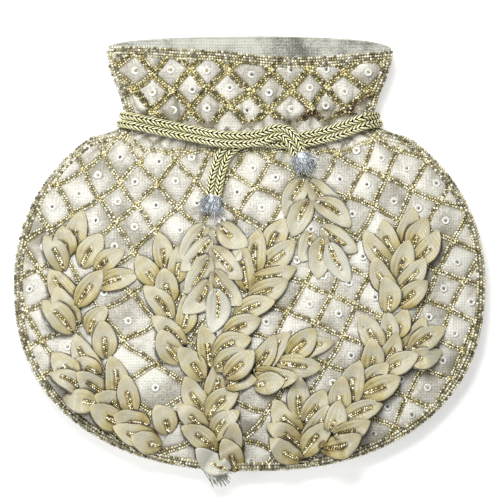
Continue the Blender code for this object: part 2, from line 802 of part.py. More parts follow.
# Doubled drawstring, with a bound leaf tassel on each end
centre = cord_centre()
for number, side in ((1, 1), (2, -1)):
    strand = side_by_side(centre, side * CORD_SPACING / 2)
    tube(f"drawstring_{number}", strand, CORD_DIAMETER / 2, 2, CORD)


def tassel_ground(x, y):
    return front_height(x, y) - gathers(x, y)


for side, pixels in TASSELS.items():
    end = centre[0] if side == "left" else centre[-1]
    toward = (centre[0] - centre[1] if side == "left" else centre[-1] - centre[-2]).normalized()
    top = end + toward * CORD_GAP
    bottom = top + toward * BINDING_LENGTH
    binding(f"binding_{side}", top, bottom, THREAD)
    stem = [bottom + toward * (STEM_RADIUS + SEAM_GAP)]
    for px, py in pixels:
        x, y = on_face(px, py)
        stem.append((x, y, tassel_ground(x, y) + TASSEL_RISE + TASSEL_OVER[side]))
    stem = smooth_path(stem, STEM_STEP)
    frond(f"tassel_{side}", LEAF, stem, TASSEL_SPACING, (0.12, 0.85), (0.07, 0.92),
          LEAF_LENGTH, tassel_ground)

for name, (pixels, left, right) in SPRAYS.items():
    stem = []
    for px, py in pixels:
        x, y = on_face(px, py)
        stem.append((x, y, tassel_ground(x, y) + STEM_RISE))
    stem = smooth_path(stem, STEM_STEP)
    frond(name, LEAF, stem, LEAF_SPACING, left, right, LEAF_LENGTH, tassel_ground)
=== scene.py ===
import math

import bpy
import numpy as np
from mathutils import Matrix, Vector


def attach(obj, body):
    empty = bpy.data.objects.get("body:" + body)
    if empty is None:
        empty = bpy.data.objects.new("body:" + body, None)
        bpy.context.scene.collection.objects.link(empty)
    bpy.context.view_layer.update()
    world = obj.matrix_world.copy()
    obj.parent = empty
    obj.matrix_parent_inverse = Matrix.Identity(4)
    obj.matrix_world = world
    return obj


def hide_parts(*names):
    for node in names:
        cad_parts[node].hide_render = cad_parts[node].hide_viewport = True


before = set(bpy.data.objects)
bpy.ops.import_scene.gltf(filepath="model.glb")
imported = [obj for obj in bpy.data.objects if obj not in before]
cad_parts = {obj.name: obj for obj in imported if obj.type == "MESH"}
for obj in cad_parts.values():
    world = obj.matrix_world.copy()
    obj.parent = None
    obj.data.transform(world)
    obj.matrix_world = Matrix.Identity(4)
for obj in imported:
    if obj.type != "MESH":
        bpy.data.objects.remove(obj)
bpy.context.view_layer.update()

# Table and light: the pouch lies on a plain white sheet, seen from straight above. A broad
# soft lamp past the mouth and a weaker one at the lower left light it, so the shadow falls
# just under the bottom edge.


def linear(colour):
    """Linear RGBA of an sRGB hex colour."""
    parts = [int(colour[at:at + 2], 16) / 255 for at in (1, 3, 5)]
    return (*[part / 12.92 if part <= 0.04045 else ((part + 0.055) / 1.055) ** 2.4
              for part in parts], 1)


def node(tree, kind, links=(), **settings):
    """Shader node of a kind, with its settings, and values or sockets for its inputs."""
    made = tree.nodes.new("ShaderNode" + kind)
    for name, value in settings.items():
        setattr(made, name, value)
    for name, value in dict(links).items():
        if isinstance(value, bpy.types.NodeSocket):
            tree.links.new(value, made.inputs[name])
        else:
            made.inputs[name].default_value = value
    return made


def maths(tree, operation, *parts):
    """Result of a sum of values and sockets."""
    return node(tree, "Math", dict(enumerate(parts)), operation=operation).outputs[0]


def ranged(tree, value, **ends):
    """A value carried from one range to another, whose ends are named as on the node."""
    links = {name.replace("_", " "): end for name, end in ends.items()}
    return node(tree, "MapRange", {"Value": value, **links}).outputs[0]


# side of the picture and middle of the pouch in pixels, and the real size of a pixel
PICTURE_SIDE = 500
FACE_MIDDLE = (249.5, 253.5)
FACE_PIXEL = 0.0005
VIEW_HEIGHT = 1.2
ROOM_LIGHT = 0.215
TABLE_GLOW = 0.50
TABLE_WHITE = "#F2F2F0"
TABLE_REACH = 2
TABLE_DROP = 0.0004

view_data = bpy.data.cameras.new("view_from_above")
view_data.type = "ORTHO"
view_data.ortho_scale = PICTURE_SIDE * FACE_PIXEL
view = bpy.data.objects.new("view_from_above", view_data)
view.location = ((PICTURE_SIDE / 2 - FACE_MIDDLE[0]) * FACE_PIXEL,
                 (FACE_MIDDLE[1] - PICTURE_SIDE / 2) * FACE_PIXEL, VIEW_HEIGHT)
bpy.context.scene.collection.objects.link(view)
bpy.context.scene.camera = view
bpy.context.scene.view_settings.view_transform = "Standard"

for lamp_name, spot, size, power in (
        ("lamp_past_mouth", (-0.14, 0.50, 1.08), 0.45, 12.0),
        ("lamp_lower_left", (-0.75, -0.30, 0.80), 0.60, 3.6)):
    lamp_data = bpy.data.lights.new(lamp_name, "AREA")
    lamp_data.size = size
    lamp_data.energy = power
    lamp = bpy.data.objects.new(lamp_name, lamp_data)
    lamp.location = spot
    lamp.rotation_euler = (-Vector(spot)).to_track_quat("-Z", "Y").to_euler()
    bpy.context.scene.collection.objects.link(lamp)

world = bpy.data.worlds.new("white_room")
bpy.context.scene.world = world
world.use_nodes = True
tree = world.node_tree
tree.nodes.clear()
ray = node(tree, "LightPath")
seen = maths(tree, "MAXIMUM", ray.outputs["Is Camera Ray"], ray.outputs["Is Glossy Ray"])
seen = maths(tree, "MAXIMUM", seen, ray.outputs["Is Transmission Ray"])
level = ranged(tree, seen, To_Min=ROOM_LIGHT, To_Max=1.0)
glow = node(tree, "Background", {"Color": (1, 1, 1, 1), "Strength": level})
node(tree, "OutputWorld", {"Surface": glow.outputs[0]})

table_mesh = bpy.data.meshes.new("table_sheet")
table_mesh.from_pydata([(x * TABLE_REACH, y * TABLE_REACH, 0)
                        for x, y in ((-1, -1), (1, -1), (1, 1), (-1, 1))], [], [(0, 1, 2, 3)])
table = bpy.data.objects.new("table_sheet", table_mesh)
table.location.z = -TABLE_DROP
bpy.context.scene.collection.objects.link(table)
paper = bpy.data.materials.new("white_paper_sheet")
paper.use_nodes = True
tree = paper.node_tree
tree.nodes.clear()
ray = node(tree, "LightPath")
matt = node(tree, "BsdfDiffuse", {"Color": linear(TABLE_WHITE)})
level = ranged(tree, ray.outputs["Is Camera Ray"], To_Max=TABLE_GLOW)
lit = node(tree, "Emission", {"Color": (1, 1, 1, 1), "Strength": level})
both = node(tree, "AddShader", {0: matt.outputs[0], 1: lit.outputs[0]})
node(tree, "OutputMaterial", {"Surface": both.outputs[0]})
table.data.materials.append(paper)

# Front of the pouch: ivory silk satin, cut as a round with a frill, quilted by the bead
# lattice so that each diamond puffs up, and drawn into pleats where the cord goes round.

POUCH_WIDTH = 0.2355
POUCH_BELOW = 0.0928
POUCH_ABOVE = 0.0962
WIDEST_Y = -0.0160
BOTTOM_Y = WIDEST_Y - POUCH_BELOW
ROUND_BELOW = 2.3
ROUND_ABOVE = 2.15
NECK_Y = 0.0650
NECK_WIDTH = 0.1230
NECK_BLEND = 0.0060
SEAT_LOW = 0.0627
SEAT_HIGH = 0.0712
SEAT_SLOPE = 4.0
SEAT_BLEND = 0.0012
MOUTH_WIDTH = 0.1430
MOUTH_FRONT_Y = 0.1025
MOUTH_BACK_Y = 0.1087
MOUTH_RUN = 0.036
RIM_Z = 0.0125
SEAM_RISE = 0.0002

# how far each sheet stands off the seam at the belly, the neck and the mouth
FRONT_SWELL = (0.0160, 0.0090, 0.0125)
BACK_SWELL = (0.0165, 0.0045, 0.0085)

# depths of the pleats under and over the cord, the frill's soft folds and its two deep ones
PLEAT_BELOW = 0.0017
PLEAT_ABOVE = 0.0021
SOFT_FOLD = 0.0012
DEEP_FOLD = 0.0012


def ease(value):
    """Smooth 0 to 1."""
    value = np.clip(value, 0, 1)
    return value * value * (3 - 2 * value)


def half_width(y):
    """Half the width of the pouch at height y."""
    y = np.asarray(y, float)
    low = np.clip((WIDEST_Y - y) / POUCH_BELOW, 0, 1)
    high = np.clip((y - WIDEST_Y) / POUCH_ABOVE, 0, 1)
    under = POUCH_WIDTH / 2 * (1 - low ** ROUND_BELOW) ** (1 / ROUND_BELOW)
    body = POUCH_WIDTH / 2 * (1 - high ** ROUND_ABOVE) ** (1 / ROUND_ABOVE)
    throat = NECK_WIDTH / 2 + (MOUTH_WIDTH - NECK_WIDTH) / 2 * ease((y - NECK_Y) / MOUTH_RUN)
    free = (body + throat + np.hypot(body - throat, NECK_BLEND)) / 2
    outside = np.maximum(0, np.maximum(SEAT_LOW - y, y - SEAT_HIGH))
    held = NECK_WIDTH / 2 + SEAT_SLOPE * outside
    above = (free + held - np.hypot(free - held, SEAT_BLEND)) / 2
    return np.where(y < WIDEST_Y, under, above)


def swell(x, y, belly, neck, mouth):
    """How far a sheet stands off the seam."""
    x, y = np.asarray(x, float), np.asarray(y, float)
    low = np.clip((WIDEST_Y - y) / POUCH_BELOW, 0, 1)
    rise = ease((y - WIDEST_Y) / (NECK_Y - WIDEST_Y))
    middle = np.where(y < WIDEST_Y, belly * (1 - low ** 2.4) ** 0.6, belly + (neck - belly) * rise)
    middle = np.where(y > NECK_Y, neck + (mouth - neck) * ease((y - NECK_Y) / MOUTH_RUN), middle)
    across = np.clip(np.abs(x) / np.maximum(half_width(y), 1e-6), 0, 1)
    return middle * (1 - across ** (2.2 + 1.8 * rise)) ** (0.65 - 0.15 * rise)


def smooth_front(x, y):
    """The front without pleats and puffs."""
    return RIM_Z + SEAM_RISE + swell(x, y, *FRONT_SWELL)


# where the cloth is folded in at the cord, as shares of the half width: below it and above
GATHERS_BELOW = np.array(
    (-0.97, -0.86, -0.79, -0.68, -0.54, -0.47, -0.36, -0.28, -0.16, -0.03, 0.10, 0.19, 0.31,
     0.44, 0.57, 0.66, 0.82, 0.93))
GATHERS_ABOVE = np.array((-0.90, -0.69, -0.55, -0.40, -0.26, -0.07, 0.10, 0.22, 0.34, 0.52,
                          0.66, 0.80, 0.93))


# two deep folds of the frill at the right, each a line of two points
DEEP_FOLDS = (((0.0200, 0.0655), (0.0385, 0.0712)), ((0.0475, 0.0690), (0.0650, 0.0802)))


def share_across(x, y):
    """Share of the half width, bent a little from row to row as gathers wander."""
    across = np.clip(x / np.maximum(half_width(y), 1e-6), -1, 1)
    return across, across + 0.02 * np.sin(170 * y + 7 * across)


def crease(across, places, wide):
    """1 in the crease of the nearest gather, falling to 0 in the round between two."""
    off = np.min(np.abs(across[..., None] - places), axis=-1)
    return np.exp(-off / wide)


def deep_folds(x, y):
    """1 in the bottom of the two deep folds of the frill."""
    x, y = np.asarray(x, float), np.asarray(y, float)
    near = np.zeros(np.broadcast(x, y).shape)
    for (x_0, y_0), (x_1, y_1) in DEEP_FOLDS:
        run = np.array([x_1 - x_0, y_1 - y_0])
        share = np.clip(((x - x_0) * run[0] + (y - y_0) * run[1]) / run.dot(run), 0, 1)
        off = np.hypot(x - x_0 - share * run[0], y - y_0 - share * run[1])
        near = np.maximum(near, np.exp(-(off / 0.0021) ** 2))
    return near


def gathers(x, y):
    """Creases drawn in by the cord, and the soft folds of the frill."""
    across, bent = share_across(x, y)
    over = ease((y - 0.0590) / 0.006)
    below = (0.2 - crease(bent, GATHERS_BELOW, 0.020)) * ease((y - 0.0420) / 0.011) * (1 - over)
    above = (0.2 - crease(bent, GATHERS_ABOVE, 0.030)) * ease((0.0930 - y) / 0.024) * over
    loose = ease((y - NECK_Y) / 0.024) * (1 - across ** 4)
    fold = np.sin(math.pi * 5 * across + 0.6) * SOFT_FOLD
    return (PLEAT_BELOW * below + PLEAT_ABOVE * above + fold * loose
            - DEEP_FOLD * deep_folds(x, y) * over)


# half diagonals of a diamond, and how the rows lean as the cloth is drawn in
DIAMOND_U = 0.0115
DIAMOND_V = 0.0114
LATTICE_U = 0.0916
LATTICE_V = -0.0676
LEAN = 0.447
LEAN_X = -0.0455
LEAN_WIDTH = 0.0470
COLUMN_LEAN = 0.69
FRILL_U = 0.0098
FRILL_V = 0.0095
FRILL_MIDDLE = 0.0915
LATTICE_TOP = 0.0560
SHOULDER_X = 0.0640


def before_drift(drift, u, v):
    """Place that a drift carries to u and v."""
    x, y = u, v
    for _ in range(30):
        aside, along = drift(x, y)
        x, y = u - aside, v - along
    return x, y


def body_drift(x, y):
    """How far the hand-sewn rows of the body wander aside, and up or down."""
    return (0.0007 * np.sin(140 * x + 60 * y + 1.0) + 0.0005 * np.sin(310 * x - 170 * y),
            0.0007 * np.sin(120 * x - 150 * y + 2.0) + 0.0005 * np.sin(280 * x + 220 * y))


def to_body_lattice(x, y):
    """Column and row numbers of the body's lattice, from a place on the face."""
    aside, along = body_drift(x, y)
    x, y = x + aside, y + along
    slope = LEAN * np.tanh((x - LEAN_X) / LEAN_WIDTH)
    v = y - LEAN * LEAN_WIDTH * np.log(np.cosh((x - LEAN_X) / LEAN_WIDTH))
    return (x + COLUMN_LEAN * slope * y - LATTICE_U) / DIAMOND_U, (v - LATTICE_V) / DIAMOND_V


def from_body_lattice(p, q):
    """Place on the face of a column and row number."""
    u = LATTICE_U + np.asarray(p, float) * DIAMOND_U
    v = LATTICE_V + np.asarray(q, float) * DIAMOND_V
    x = u.copy()
    for _ in range(60):
        slope = LEAN * np.tanh((x - LEAN_X) / LEAN_WIDTH)
        y = v + LEAN * LEAN_WIDTH * np.log(np.cosh((x - LEAN_X) / LEAN_WIDTH))
        x = 0.5 * x + 0.5 * (u - COLUMN_LEAN * slope * y)
    return before_drift(body_drift, x, y)


def frill_drift(x, y):
    """How far the gathers push the frill's lattice aside, and up or down."""
    return (0.0010 * np.sin(95 * x + 30 * y + 0.7) + 0.0006 * np.sin(210 * x - 90 * y),
            0.0009 * np.sin(120 * x + 60 * y + 2.0) + 0.0005 * np.sin(260 * x + 1.0))


def to_frill_lattice(x, y):
    """Column and row numbers of the frill's lattice, from a place on the face."""
    aside, along = frill_drift(x, y)
    return (x + aside) / FRILL_U, (y + along - FRILL_MIDDLE) / FRILL_V


def from_frill_lattice(p, q):
    """Place on the face of a column and row number of the frill."""
    return before_drift(frill_drift, np.asarray(p, float) * FRILL_U,
                        FRILL_MIDDLE + np.asarray(q, float) * FRILL_V)


# the diamonds are the lattice places whose column and row add up to an even number
CELL_SPAN = 40


def marked_cells(columns, rows, from_lattice, on_cloth):
    """Which of the diamonds have their middle on the cloth."""
    marked = np.zeros((2 * CELL_SPAN, 2 * CELL_SPAN), bool)
    column, row = np.meshgrid(np.arange(*columns), np.arange(*rows), indexing="ij")
    keep = ((column + row) % 2 == 0) & on_cloth(*from_lattice(column, row))
    marked[column[keep] + CELL_SPAN, row[keep] + CELL_SPAN] = True
    return marked


body_cells = marked_cells(
    (-24, 6), (-12, 14), from_body_lattice,
    lambda x, y: ((y > BOTTOM_Y) & (y < 0.0620) & (np.abs(x) < half_width(y) + 0.002)
                  & ((y < LATTICE_TOP) | (np.abs(x) > SHOULDER_X))))
frill_cells = marked_cells(
    (-9, 10), (-3, 4), from_frill_lattice,
    lambda x, y: (y > 0.0600) & (y < MOUTH_BACK_Y) & (np.abs(x) < half_width(y)))

draw = np.random.default_rng(11)
cell_swell = draw.uniform(0.75, 1.2, body_cells.shape)
cell_tilt = draw.uniform(-1, 1, (2, *body_cells.shape))


def nearest_diamond(p, q):
    """Nearest diamond of a lattice place: its number, the place's offsets, and how far in."""
    a, b = p + q, p - q
    a_mid, b_mid = 2 * np.round(a / 2), 2 * np.round(b / 2)
    number = tuple(np.clip((part / 2).astype(int) + CELL_SPAN, 0, 2 * CELL_SPAN - 1)
                   for part in (a_mid + b_mid, a_mid - b_mid))
    return number, a - a_mid, b - b_mid, 1 - np.maximum(np.abs(a - a_mid), np.abs(b - b_mid))


def puff(p, q, cells):
    """Height share of the puffed silk at a lattice place, 0 in the seams and outside."""
    number, off_a, off_b, inside = nearest_diamond(p, q)
    tilt = cell_tilt[0][number] * off_a + cell_tilt[1][number] * off_b
    round_top = np.sin(math.pi / 2 * np.clip((inside - 0.08) / 0.72, 0, 1)) ** 0.8
    dimple = 0.35 * np.exp(-((1 - inside) / 0.16) ** 2)
    height = (round_top * (1 + 0.16 * tilt) - dimple) * cell_swell[number]
    return height * cells[number]


PUFF_HEIGHT = 0.0015
PUFF_SEAT = 0.0003


def scallops(x):
    """Line of the scalloped bead row that ends the body's lattice under the gathers."""
    return 0.0508 + 0.0016 * np.abs(np.sin(x * 250 + 0.9)) + 0.6 * np.maximum(
        0, np.abs(x) - 0.050)


def front_silk(x, y):
    """Outer face of the front: its swell, pleats and puffs."""
    puffs = puff(*to_body_lattice(x, y), body_cells) * ease((scallops(x) + 0.001 - y) / 0.003)
    puffs = puffs + puff(*to_frill_lattice(x, y), frill_cells) * ease((y - 0.0650) / 0.005)
    return smooth_front(x, y) + gathers(x, y) + PUFF_HEIGHT * puffs - PUFF_SEAT


def front_inner(x, y):
    """Inner face of the front: its swell and pleats."""
    return smooth_front(x, y) + gathers(x, y) - 0.0011


def front_mouth(x):
    """Edge of the front at the mouth: it slopes to the right and dips there."""
    off = np.clip(np.abs(x - 0.022) / 0.050, 0, 1)
    left = 0.0012 * ease((-0.030 - x) / 0.025) * ease((x + 0.09) / 0.015)
    return 0.1010 - 0.0015 * ease(x / MOUTH_WIDTH + 0.5) - 0.0016 * np.cos(math.pi * off) + left


def back_mouth(x):
    """Edge of the back at the mouth, drawn down to the front's at the side seams."""
    out = np.clip(np.abs(2 * x / MOUTH_WIDTH), 0, 1)
    return MOUTH_BACK_Y - 0.0030 * out ** 2 - 0.0022 * out ** 10 * (1 + 0.4 * (x > 0))


def add_piece(name, corners, faces, finish):
    """Mesh of the pouch, riding on its one body."""
    mesh = bpy.data.meshes.new(name)
    mesh.from_pydata(np.asarray(corners).tolist(), [], faces)
    mesh.polygons.foreach_set("use_smooth", [True] * len(mesh.polygons))
    mesh.materials.append(finish)
    mesh.validate()
    mesh.update()
    made = bpy.data.objects.new(name, mesh)
    bpy.context.scene.collection.objects.link(made)
    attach(made, "root")
    return made


def grid_faces(rows, columns, first=0, wrap=False):
    """Quads of a grid of corners, row by row."""
    at = first + np.arange(rows * columns).reshape(rows, columns)
    after = np.roll(at, -1, axis=1) if wrap else at[:, 1:]
    here = at if wrap else at[:, :-1]
    quads = np.stack([here[:-1], after[:-1], after[1:], here[1:]], axis=-1)
    return quads.reshape(-1, 4)


def edge_of(at):
    """Corner numbers round the edge of a grid of them, and the one after each."""
    ring = np.concatenate([at[0, :-1], at[:-1, -1], at[-1, :0:-1], at[:0:-1, 0]])
    return ring, np.roll(ring, -1)


# share of a sheet's rows that lie below its widest place
LOW_ROWS = 0.45


def cloth_solid(outer, inner, mouth, inset, drop, rows, columns):
    """Corners and faces of a sheet between two heights. The inner side is half as fine."""
    span = np.linspace(0, 1, rows)
    bottom = BOTTOM_Y + inset
    down = 1 - np.cos(math.pi / 2 * np.minimum(1, span / LOW_ROWS))
    level = bottom + (WIDEST_Y - bottom) * down
    up, share = np.meshgrid(np.clip((span - LOW_ROWS) / (1 - LOW_ROWS), 0, 1),
                            np.linspace(-1, 1, columns), indexing="ij")
    y = level[:, None] + 0 * share
    for _ in range(4):
        x = share * np.maximum(half_width(y) - inset, 0.0004)
        y = np.where(up > 0, WIDEST_Y + (mouth(x) - drop - WIDEST_Y) * up, level[:, None])
    x, y = x.ravel(), y.ravel()
    corners = np.concatenate([np.column_stack([x, y, outer(x, y)]),
                              np.column_stack([x, y, inner(x, y)])])
    count = rows * columns
    at = np.arange(count).reshape(rows, columns)
    ring, after = edge_of(at)
    faces = grid_faces(rows, columns).tolist()
    faces += np.stack([after, ring, ring + count, after + count], axis=1).tolist()
    for row in range(0, rows - 1, 2):
        for column in range(0, columns - 1, 2):
            first, last = row == 0, row + 2 == rows - 1
            left, right = column == 0, column + 2 == columns - 1
            walk = [(0, 0), (1, 0) if left else None, (2, 0), (2, 1) if last else None, (2, 2),
                    (1, 2) if right else None, (0, 2), (0, 1) if first else None]
            faces.append([int(at[row + step[0], column + step[1]]) + count
                          for step in walk if step])
    if outer(0, 0) < inner(0, 0):
        faces = [face[::-1] for face in faces]
    used = np.unique(np.concatenate([np.asarray(face) for face in faces]))
    place = np.zeros(2 * count, int)
    place[used] = np.arange(len(used))
    return corners[used], [place[face].tolist() for face in faces]


def new_finish(name, **settings):
    """Material of one Principled shader, with its tree, shader and object coordinates."""
    made = bpy.data.materials.new(name)
    made.use_nodes = True
    shader = made.node_tree.nodes["Principled BSDF"]
    for socket, value in settings.items():
        shader.inputs[socket.replace("_", " ")].default_value = value
    place = node(made.node_tree, "TexCoord").outputs["Object"]
    return made, made.node_tree, shader, place


def blend(tree, share, first, second, way="MIX"):
    """Two colours mixed by a share. Each is a hex colour or a socket."""
    first, second = (linear(part) if isinstance(part, str) else part for part in (first, second))
    return node(tree, "Mix", {0: share, 6: first, 7: second}, data_type="RGBA",
                blend_type=way).outputs[2]


def noise(tree, place, scale, detail, roughness=0.5):
    """Cloudy noise from 0 to 1."""
    return node(tree, "TexNoise", {"Vector": place, "Scale": scale, "Detail": detail,
                                   "Roughness": roughness}).outputs[0]


def waves(tree, place, scale, distortion, way="X"):
    """Bands from 0 to 1, like drawn threads."""
    return node(tree, "TexWave", {"Vector": place, "Scale": scale, "Distortion": distortion},
                bands_direction=way).outputs[1]


def share_of(tree, name):
    """Number that add_shares gave to the corners."""
    return node(tree, "Attribute", attribute_name=name).outputs["Fac"]


def add_relief(tree, shader, height, strength, distance):
    """Bump of a height on a material."""
    bump = node(tree, "Bump", {"Height": height, "Strength": strength, "Distance": distance})
    tree.links.new(bump.outputs[0], shader.inputs["Normal"])


def silk(name, pale, deep, slub_depth):
    """Satin-woven silk: threads drawn 1.4 mm apart, coarse enough to show, with slubs."""
    made, tree, shader, place = new_finish(
        name, Roughness=0.36, Sheen_Weight=0.30, Sheen_Roughness=0.35, IOR=1.5)
    cloud = noise(tree, place, 60.0, 3.0)
    grain = noise(tree, place, 1100.0, 2.0, roughness=0.7)
    share = ranged(tree, maths(tree, "MULTIPLY_ADD", grain, 0.5, cloud),
                   From_Min=0.58, From_Max=0.85)
    colour = blend(tree, share, deep, pale)
    tree.links.new(colour, shader.inputs["Base Color"])
    warp, weft = (waves(tree, place, 230.0, 1.5, way) for way in "XY")
    weave = maths(tree, "MULTIPLY", warp, weft)
    add_relief(tree, shader, maths(tree, "ADD", weave, grain), slub_depth, 0.0005)
    return made, tree, shader, colour


def add_shares(piece, name, shares):
    """Number from 0 to 1 at each corner of a piece, for its material to read."""
    layer = piece.data.attributes.new(name, "FLOAT", "POINT")
    layer.data.foreach_set("value", np.asarray(shares, float).ravel())


def corners_of(piece):
    """Corners of a piece, as rows of three numbers."""
    flat = np.empty(3 * len(piece.data.vertices))
    piece.data.vertices.foreach_get("co", flat)
    return flat.reshape(-1, 3)


# the embroidered silk is darkened along the couched bead rows by thread and by painted shade
# between the beads; painted shade also darkens the gather creases, the deep folds and the
# edges of each diamond
beaded_satin, tree, shader, colour = silk("embroidered_silk_satin", "#EAE7DC", "#A29E8E", 0.35)
colour = blend(tree, share_of(tree, "thread_and_shade"), colour, "#6B603C")
# painted shade on the silk where leaves lie higher close by
colour = blend(tree, share_of(tree, "covered_shade"), colour, "#4B3F24")
tree.links.new(colour, shader.inputs["Base Color"])
ivory_satin = silk("ivory_silk_satin", "#E8E5DA", "#ACA898", 0.4)[0]


def thread_and_shade_share(x, y):
    """Thread colour and painted shade: 1 under the bead rows and in the deep folds, less in
    the gather creases and towards the diamonds' edges, 0 in the diamonds and on plain silk.
    """
    total = np.zeros_like(x)
    for (p, q), cells, band in ((to_body_lattice(x, y), body_cells, 0.23),
                                (to_frill_lattice(x, y), frill_cells, 0.34)):
        number, _, _, inside = nearest_diamond(p, q)
        # thread and painted shade between the beads under the rows; painted shade towards each
        # diamond's edge
        under = np.maximum(np.clip((band - inside) / 0.12, 0, 1),
                           0.22 * np.clip(1 - inside / 0.55, 0, 1))
        total = np.maximum(total, under * cells[number])
    # painted shade in the creases of the gathers and in the two deep folds
    bent = share_across(x, y)[1]
    for places, wide, zone in (
            (GATHERS_BELOW, 0.0052, ease((y - 0.0455) / 0.006) * (y < 0.0620)),
            (GATHERS_ABOVE, 0.0140, ease((0.0900 - y) / 0.016) * (y > 0.0620))):
        total = np.maximum(total, 0.85 * zone * crease(bent, places, wide))
    return np.maximum(total, deep_folds(x, y))


SEAM_INSET = 0.0009
THREAD_AND_SHADE_DARKNESS = 0.78
corners, faces = cloth_solid(
    front_silk, front_inner, front_mouth, SEAM_INSET, 0.0004, 261, 281)
silk_front = add_piece("silk_front", corners, faces, beaded_satin)
at = corners_of(silk_front)
add_shares(silk_front, "thread_and_shade", THREAD_AND_SHADE_DARKNESS * thread_and_shade_share(at[:, 0], at[:, 1]))
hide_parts("front_panel")

# Back of the pouch: the same silk without beads, gathered at the neck, flattened where it
# lies on the table.


def back_silk(x, y):
    """Outer face of the back."""
    hang = swell(x, y, *BACK_SWELL)
    return np.maximum(0.0, RIM_Z - SEAM_RISE - hang - 0.5 * gathers(x, y))


def back_inner(x, y):
    """Inner face of the back, thicker where the cloth bunches at the neck."""
    hang = swell(x, y, *BACK_SWELL)
    thick = 0.0012 + 0.0006 * ease((y - 0.048) / 0.012)
    return np.maximum(0.0, RIM_Z - SEAM_RISE - hang) + thick


corners, faces = cloth_solid(back_silk, back_inner, back_mouth, SEAM_INSET, 0.0, 131, 181)
silk_back = add_piece("silk_back", corners, faces, ivory_satin)
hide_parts("back_panel")

# Lining: thin pale silk, sewn to both panels inside the mouth; only its edge above the
# front is seen.

pale_lining = silk("pale_lining_silk", "#D8D8CC", "#6E6E60", 0.6)[0]


def lining_drape(x, y):
    """Soft folds of the loose lining near the mouth."""
    folds = np.sin(x * 260 + 1.3 * np.sin(y * 160)) + 0.7 * np.sin(x * 610 + 2.0)
    return 0.0007 * folds * ease((y - 0.06) / 0.02) * (1 - (2 * x / MOUTH_WIDTH) ** 2)


def lining_under_front(x, y):
    """Face of the front lining, a little lower where the pleats come down."""
    return smooth_front(x, y) - 0.0021 - 0.0012 * ease((y - 0.03) / 0.02)


def lining_over_back(x, y):
    """Face of the back lining."""
    return back_inner(x, y) + 0.0009 + lining_drape(x, y)


corners, faces = cloth_solid(
    lining_under_front, lambda x, y: lining_under_front(x, y) - 0.0004,
    front_mouth, 0.0060, 0.0022, 71, 71)
lining_in_front = add_piece("lining_in_front", corners, faces, pale_lining)
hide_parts("lining_front")
corners, faces = cloth_solid(
    lambda x, y: lining_over_back(x, y) + 0.0005, lining_over_back,
    back_mouth, 0.0012, 0.0006, 61, 81)
lining_in_back = add_piece("lining_in_back", corners, faces, pale_lining)
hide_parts("lining_back")

# Bead lattice: rows of gold-lined glass seed beads, 1.3 mm apart, couched over the quilting
# seams, two on the body and three on the frill, with a heap of beads where they cross.


def tube_faces(rings, sides):
    """Faces of a tube of rings of corners, closed at both ends."""
    last = (rings - 1) * sides
    return [*grid_faces(rings, sides, wrap=True).tolist(), list(range(sides))[::-1],
            list(range(last, last + sides))]


# a barrel bead one unit across, its hole along X: how far along each ring is, and its radius
BEAD_SIDES = 6
BEAD_PROFILE = ((-0.46, 0.30), (0.0, 0.52), (0.46, 0.30))
turn = np.arange(BEAD_SIDES) * 2 * math.pi / BEAD_SIDES
SEED_BEAD = (np.array([(along, reach * math.cos(t), reach * math.sin(t))
                       for along, reach in BEAD_PROFILE for t in turn]),
             [face[::-1] for face in tube_faces(len(BEAD_PROFILE), BEAD_SIDES)])


def unit(rows):
    """Rows of three numbers, each made one unit long."""
    return rows / np.linalg.norm(rows, axis=1, keepdims=True)


def strew(shape, spots, ahead, up, sizes):
    """Corners and faces of many copies of a small shape, turned and scaled into place."""
    corners, faces = shape
    ahead = unit(ahead)
    side = unit(np.cross(up, ahead))
    frames = np.stack([ahead, side, np.cross(ahead, side)], axis=1)
    placed = np.einsum("npk,nkc->npc", corners[None] * sizes[:, None, :], frames)
    placed += spots[:, None]
    count = len(corners)
    all_faces = [tuple(corner + count * number for corner in face)
                 for number in range(len(spots)) for face in faces]
    return placed.reshape(-1, 3), all_faces


def face_normal(x, y, height):
    """Upward normals of a height over the face."""
    step = 0.0004
    slope_x = (height(x + step, y) - height(x - step, y)) / (2 * step)
    slope_y = (height(x, y + step) - height(x, y - step)) / (2 * step)
    return unit(np.stack([-slope_x, -slope_y, np.ones_like(slope_x)], axis=1))


def bead_metal(name, shades, roughness):
    """Foil-lined glass beads: a bright metal look, each bead its own shade."""
    made, tree, shader, _ = new_finish(name, Metallic=0.45, Roughness=roughness)
    island = node(tree, "NewGeometry").outputs["Random Per Island"]
    ramp = node(tree, "ValToRGB", {"Fac": island})
    ramp.color_ramp.interpolation = "CONSTANT"
    while len(ramp.color_ramp.elements) < len(shades):
        ramp.color_ramp.elements.new(0.5)
    for place, (element, shade) in enumerate(zip(ramp.color_ramp.elements, shades)):
        element.position = place / len(shades)
        element.color = linear(shade)
    tree.links.new(ramp.outputs[0], shader.inputs["Base Color"])
    shader.inputs["Coat Weight"].default_value = 0.6
    shader.inputs["Coat Roughness"].default_value = 0.10
    return made


gold_beads = bead_metal(
    "gold_lined_seed_beads",
    ("#D9D1A2", "#BDB27E", "#F3EFD0", "#9C9160", "#E1DAB4", "#D3CDB4", "#857A4A", "#F9F6E2"),
    0.30)
BEAD_SIZE = 0.00140
BEAD_PITCH = 0.00130
BEAD_LIFT = 0.0005
FOLD_LIFT = 0.0004
HEAP_LIFT = 0.0011
HEAP_SPREAD = 0.00125
HEAP_REACH = 0.0024
ROW_APART = 0.00176
ROW_BOW = 0.0007
BEAD_STRAY = 0.00012
EDGE_STEPS = 21


def travel(line):
    """How far along a line each of its points is."""
    return np.concatenate([[0], np.cumsum(np.linalg.norm(np.diff(line, axis=0), axis=1))])


def points_at(line, travelled, at):
    """Points of a line at some distances along it."""
    return np.stack([np.interp(at, travelled, part) for part in line.T], axis=1)


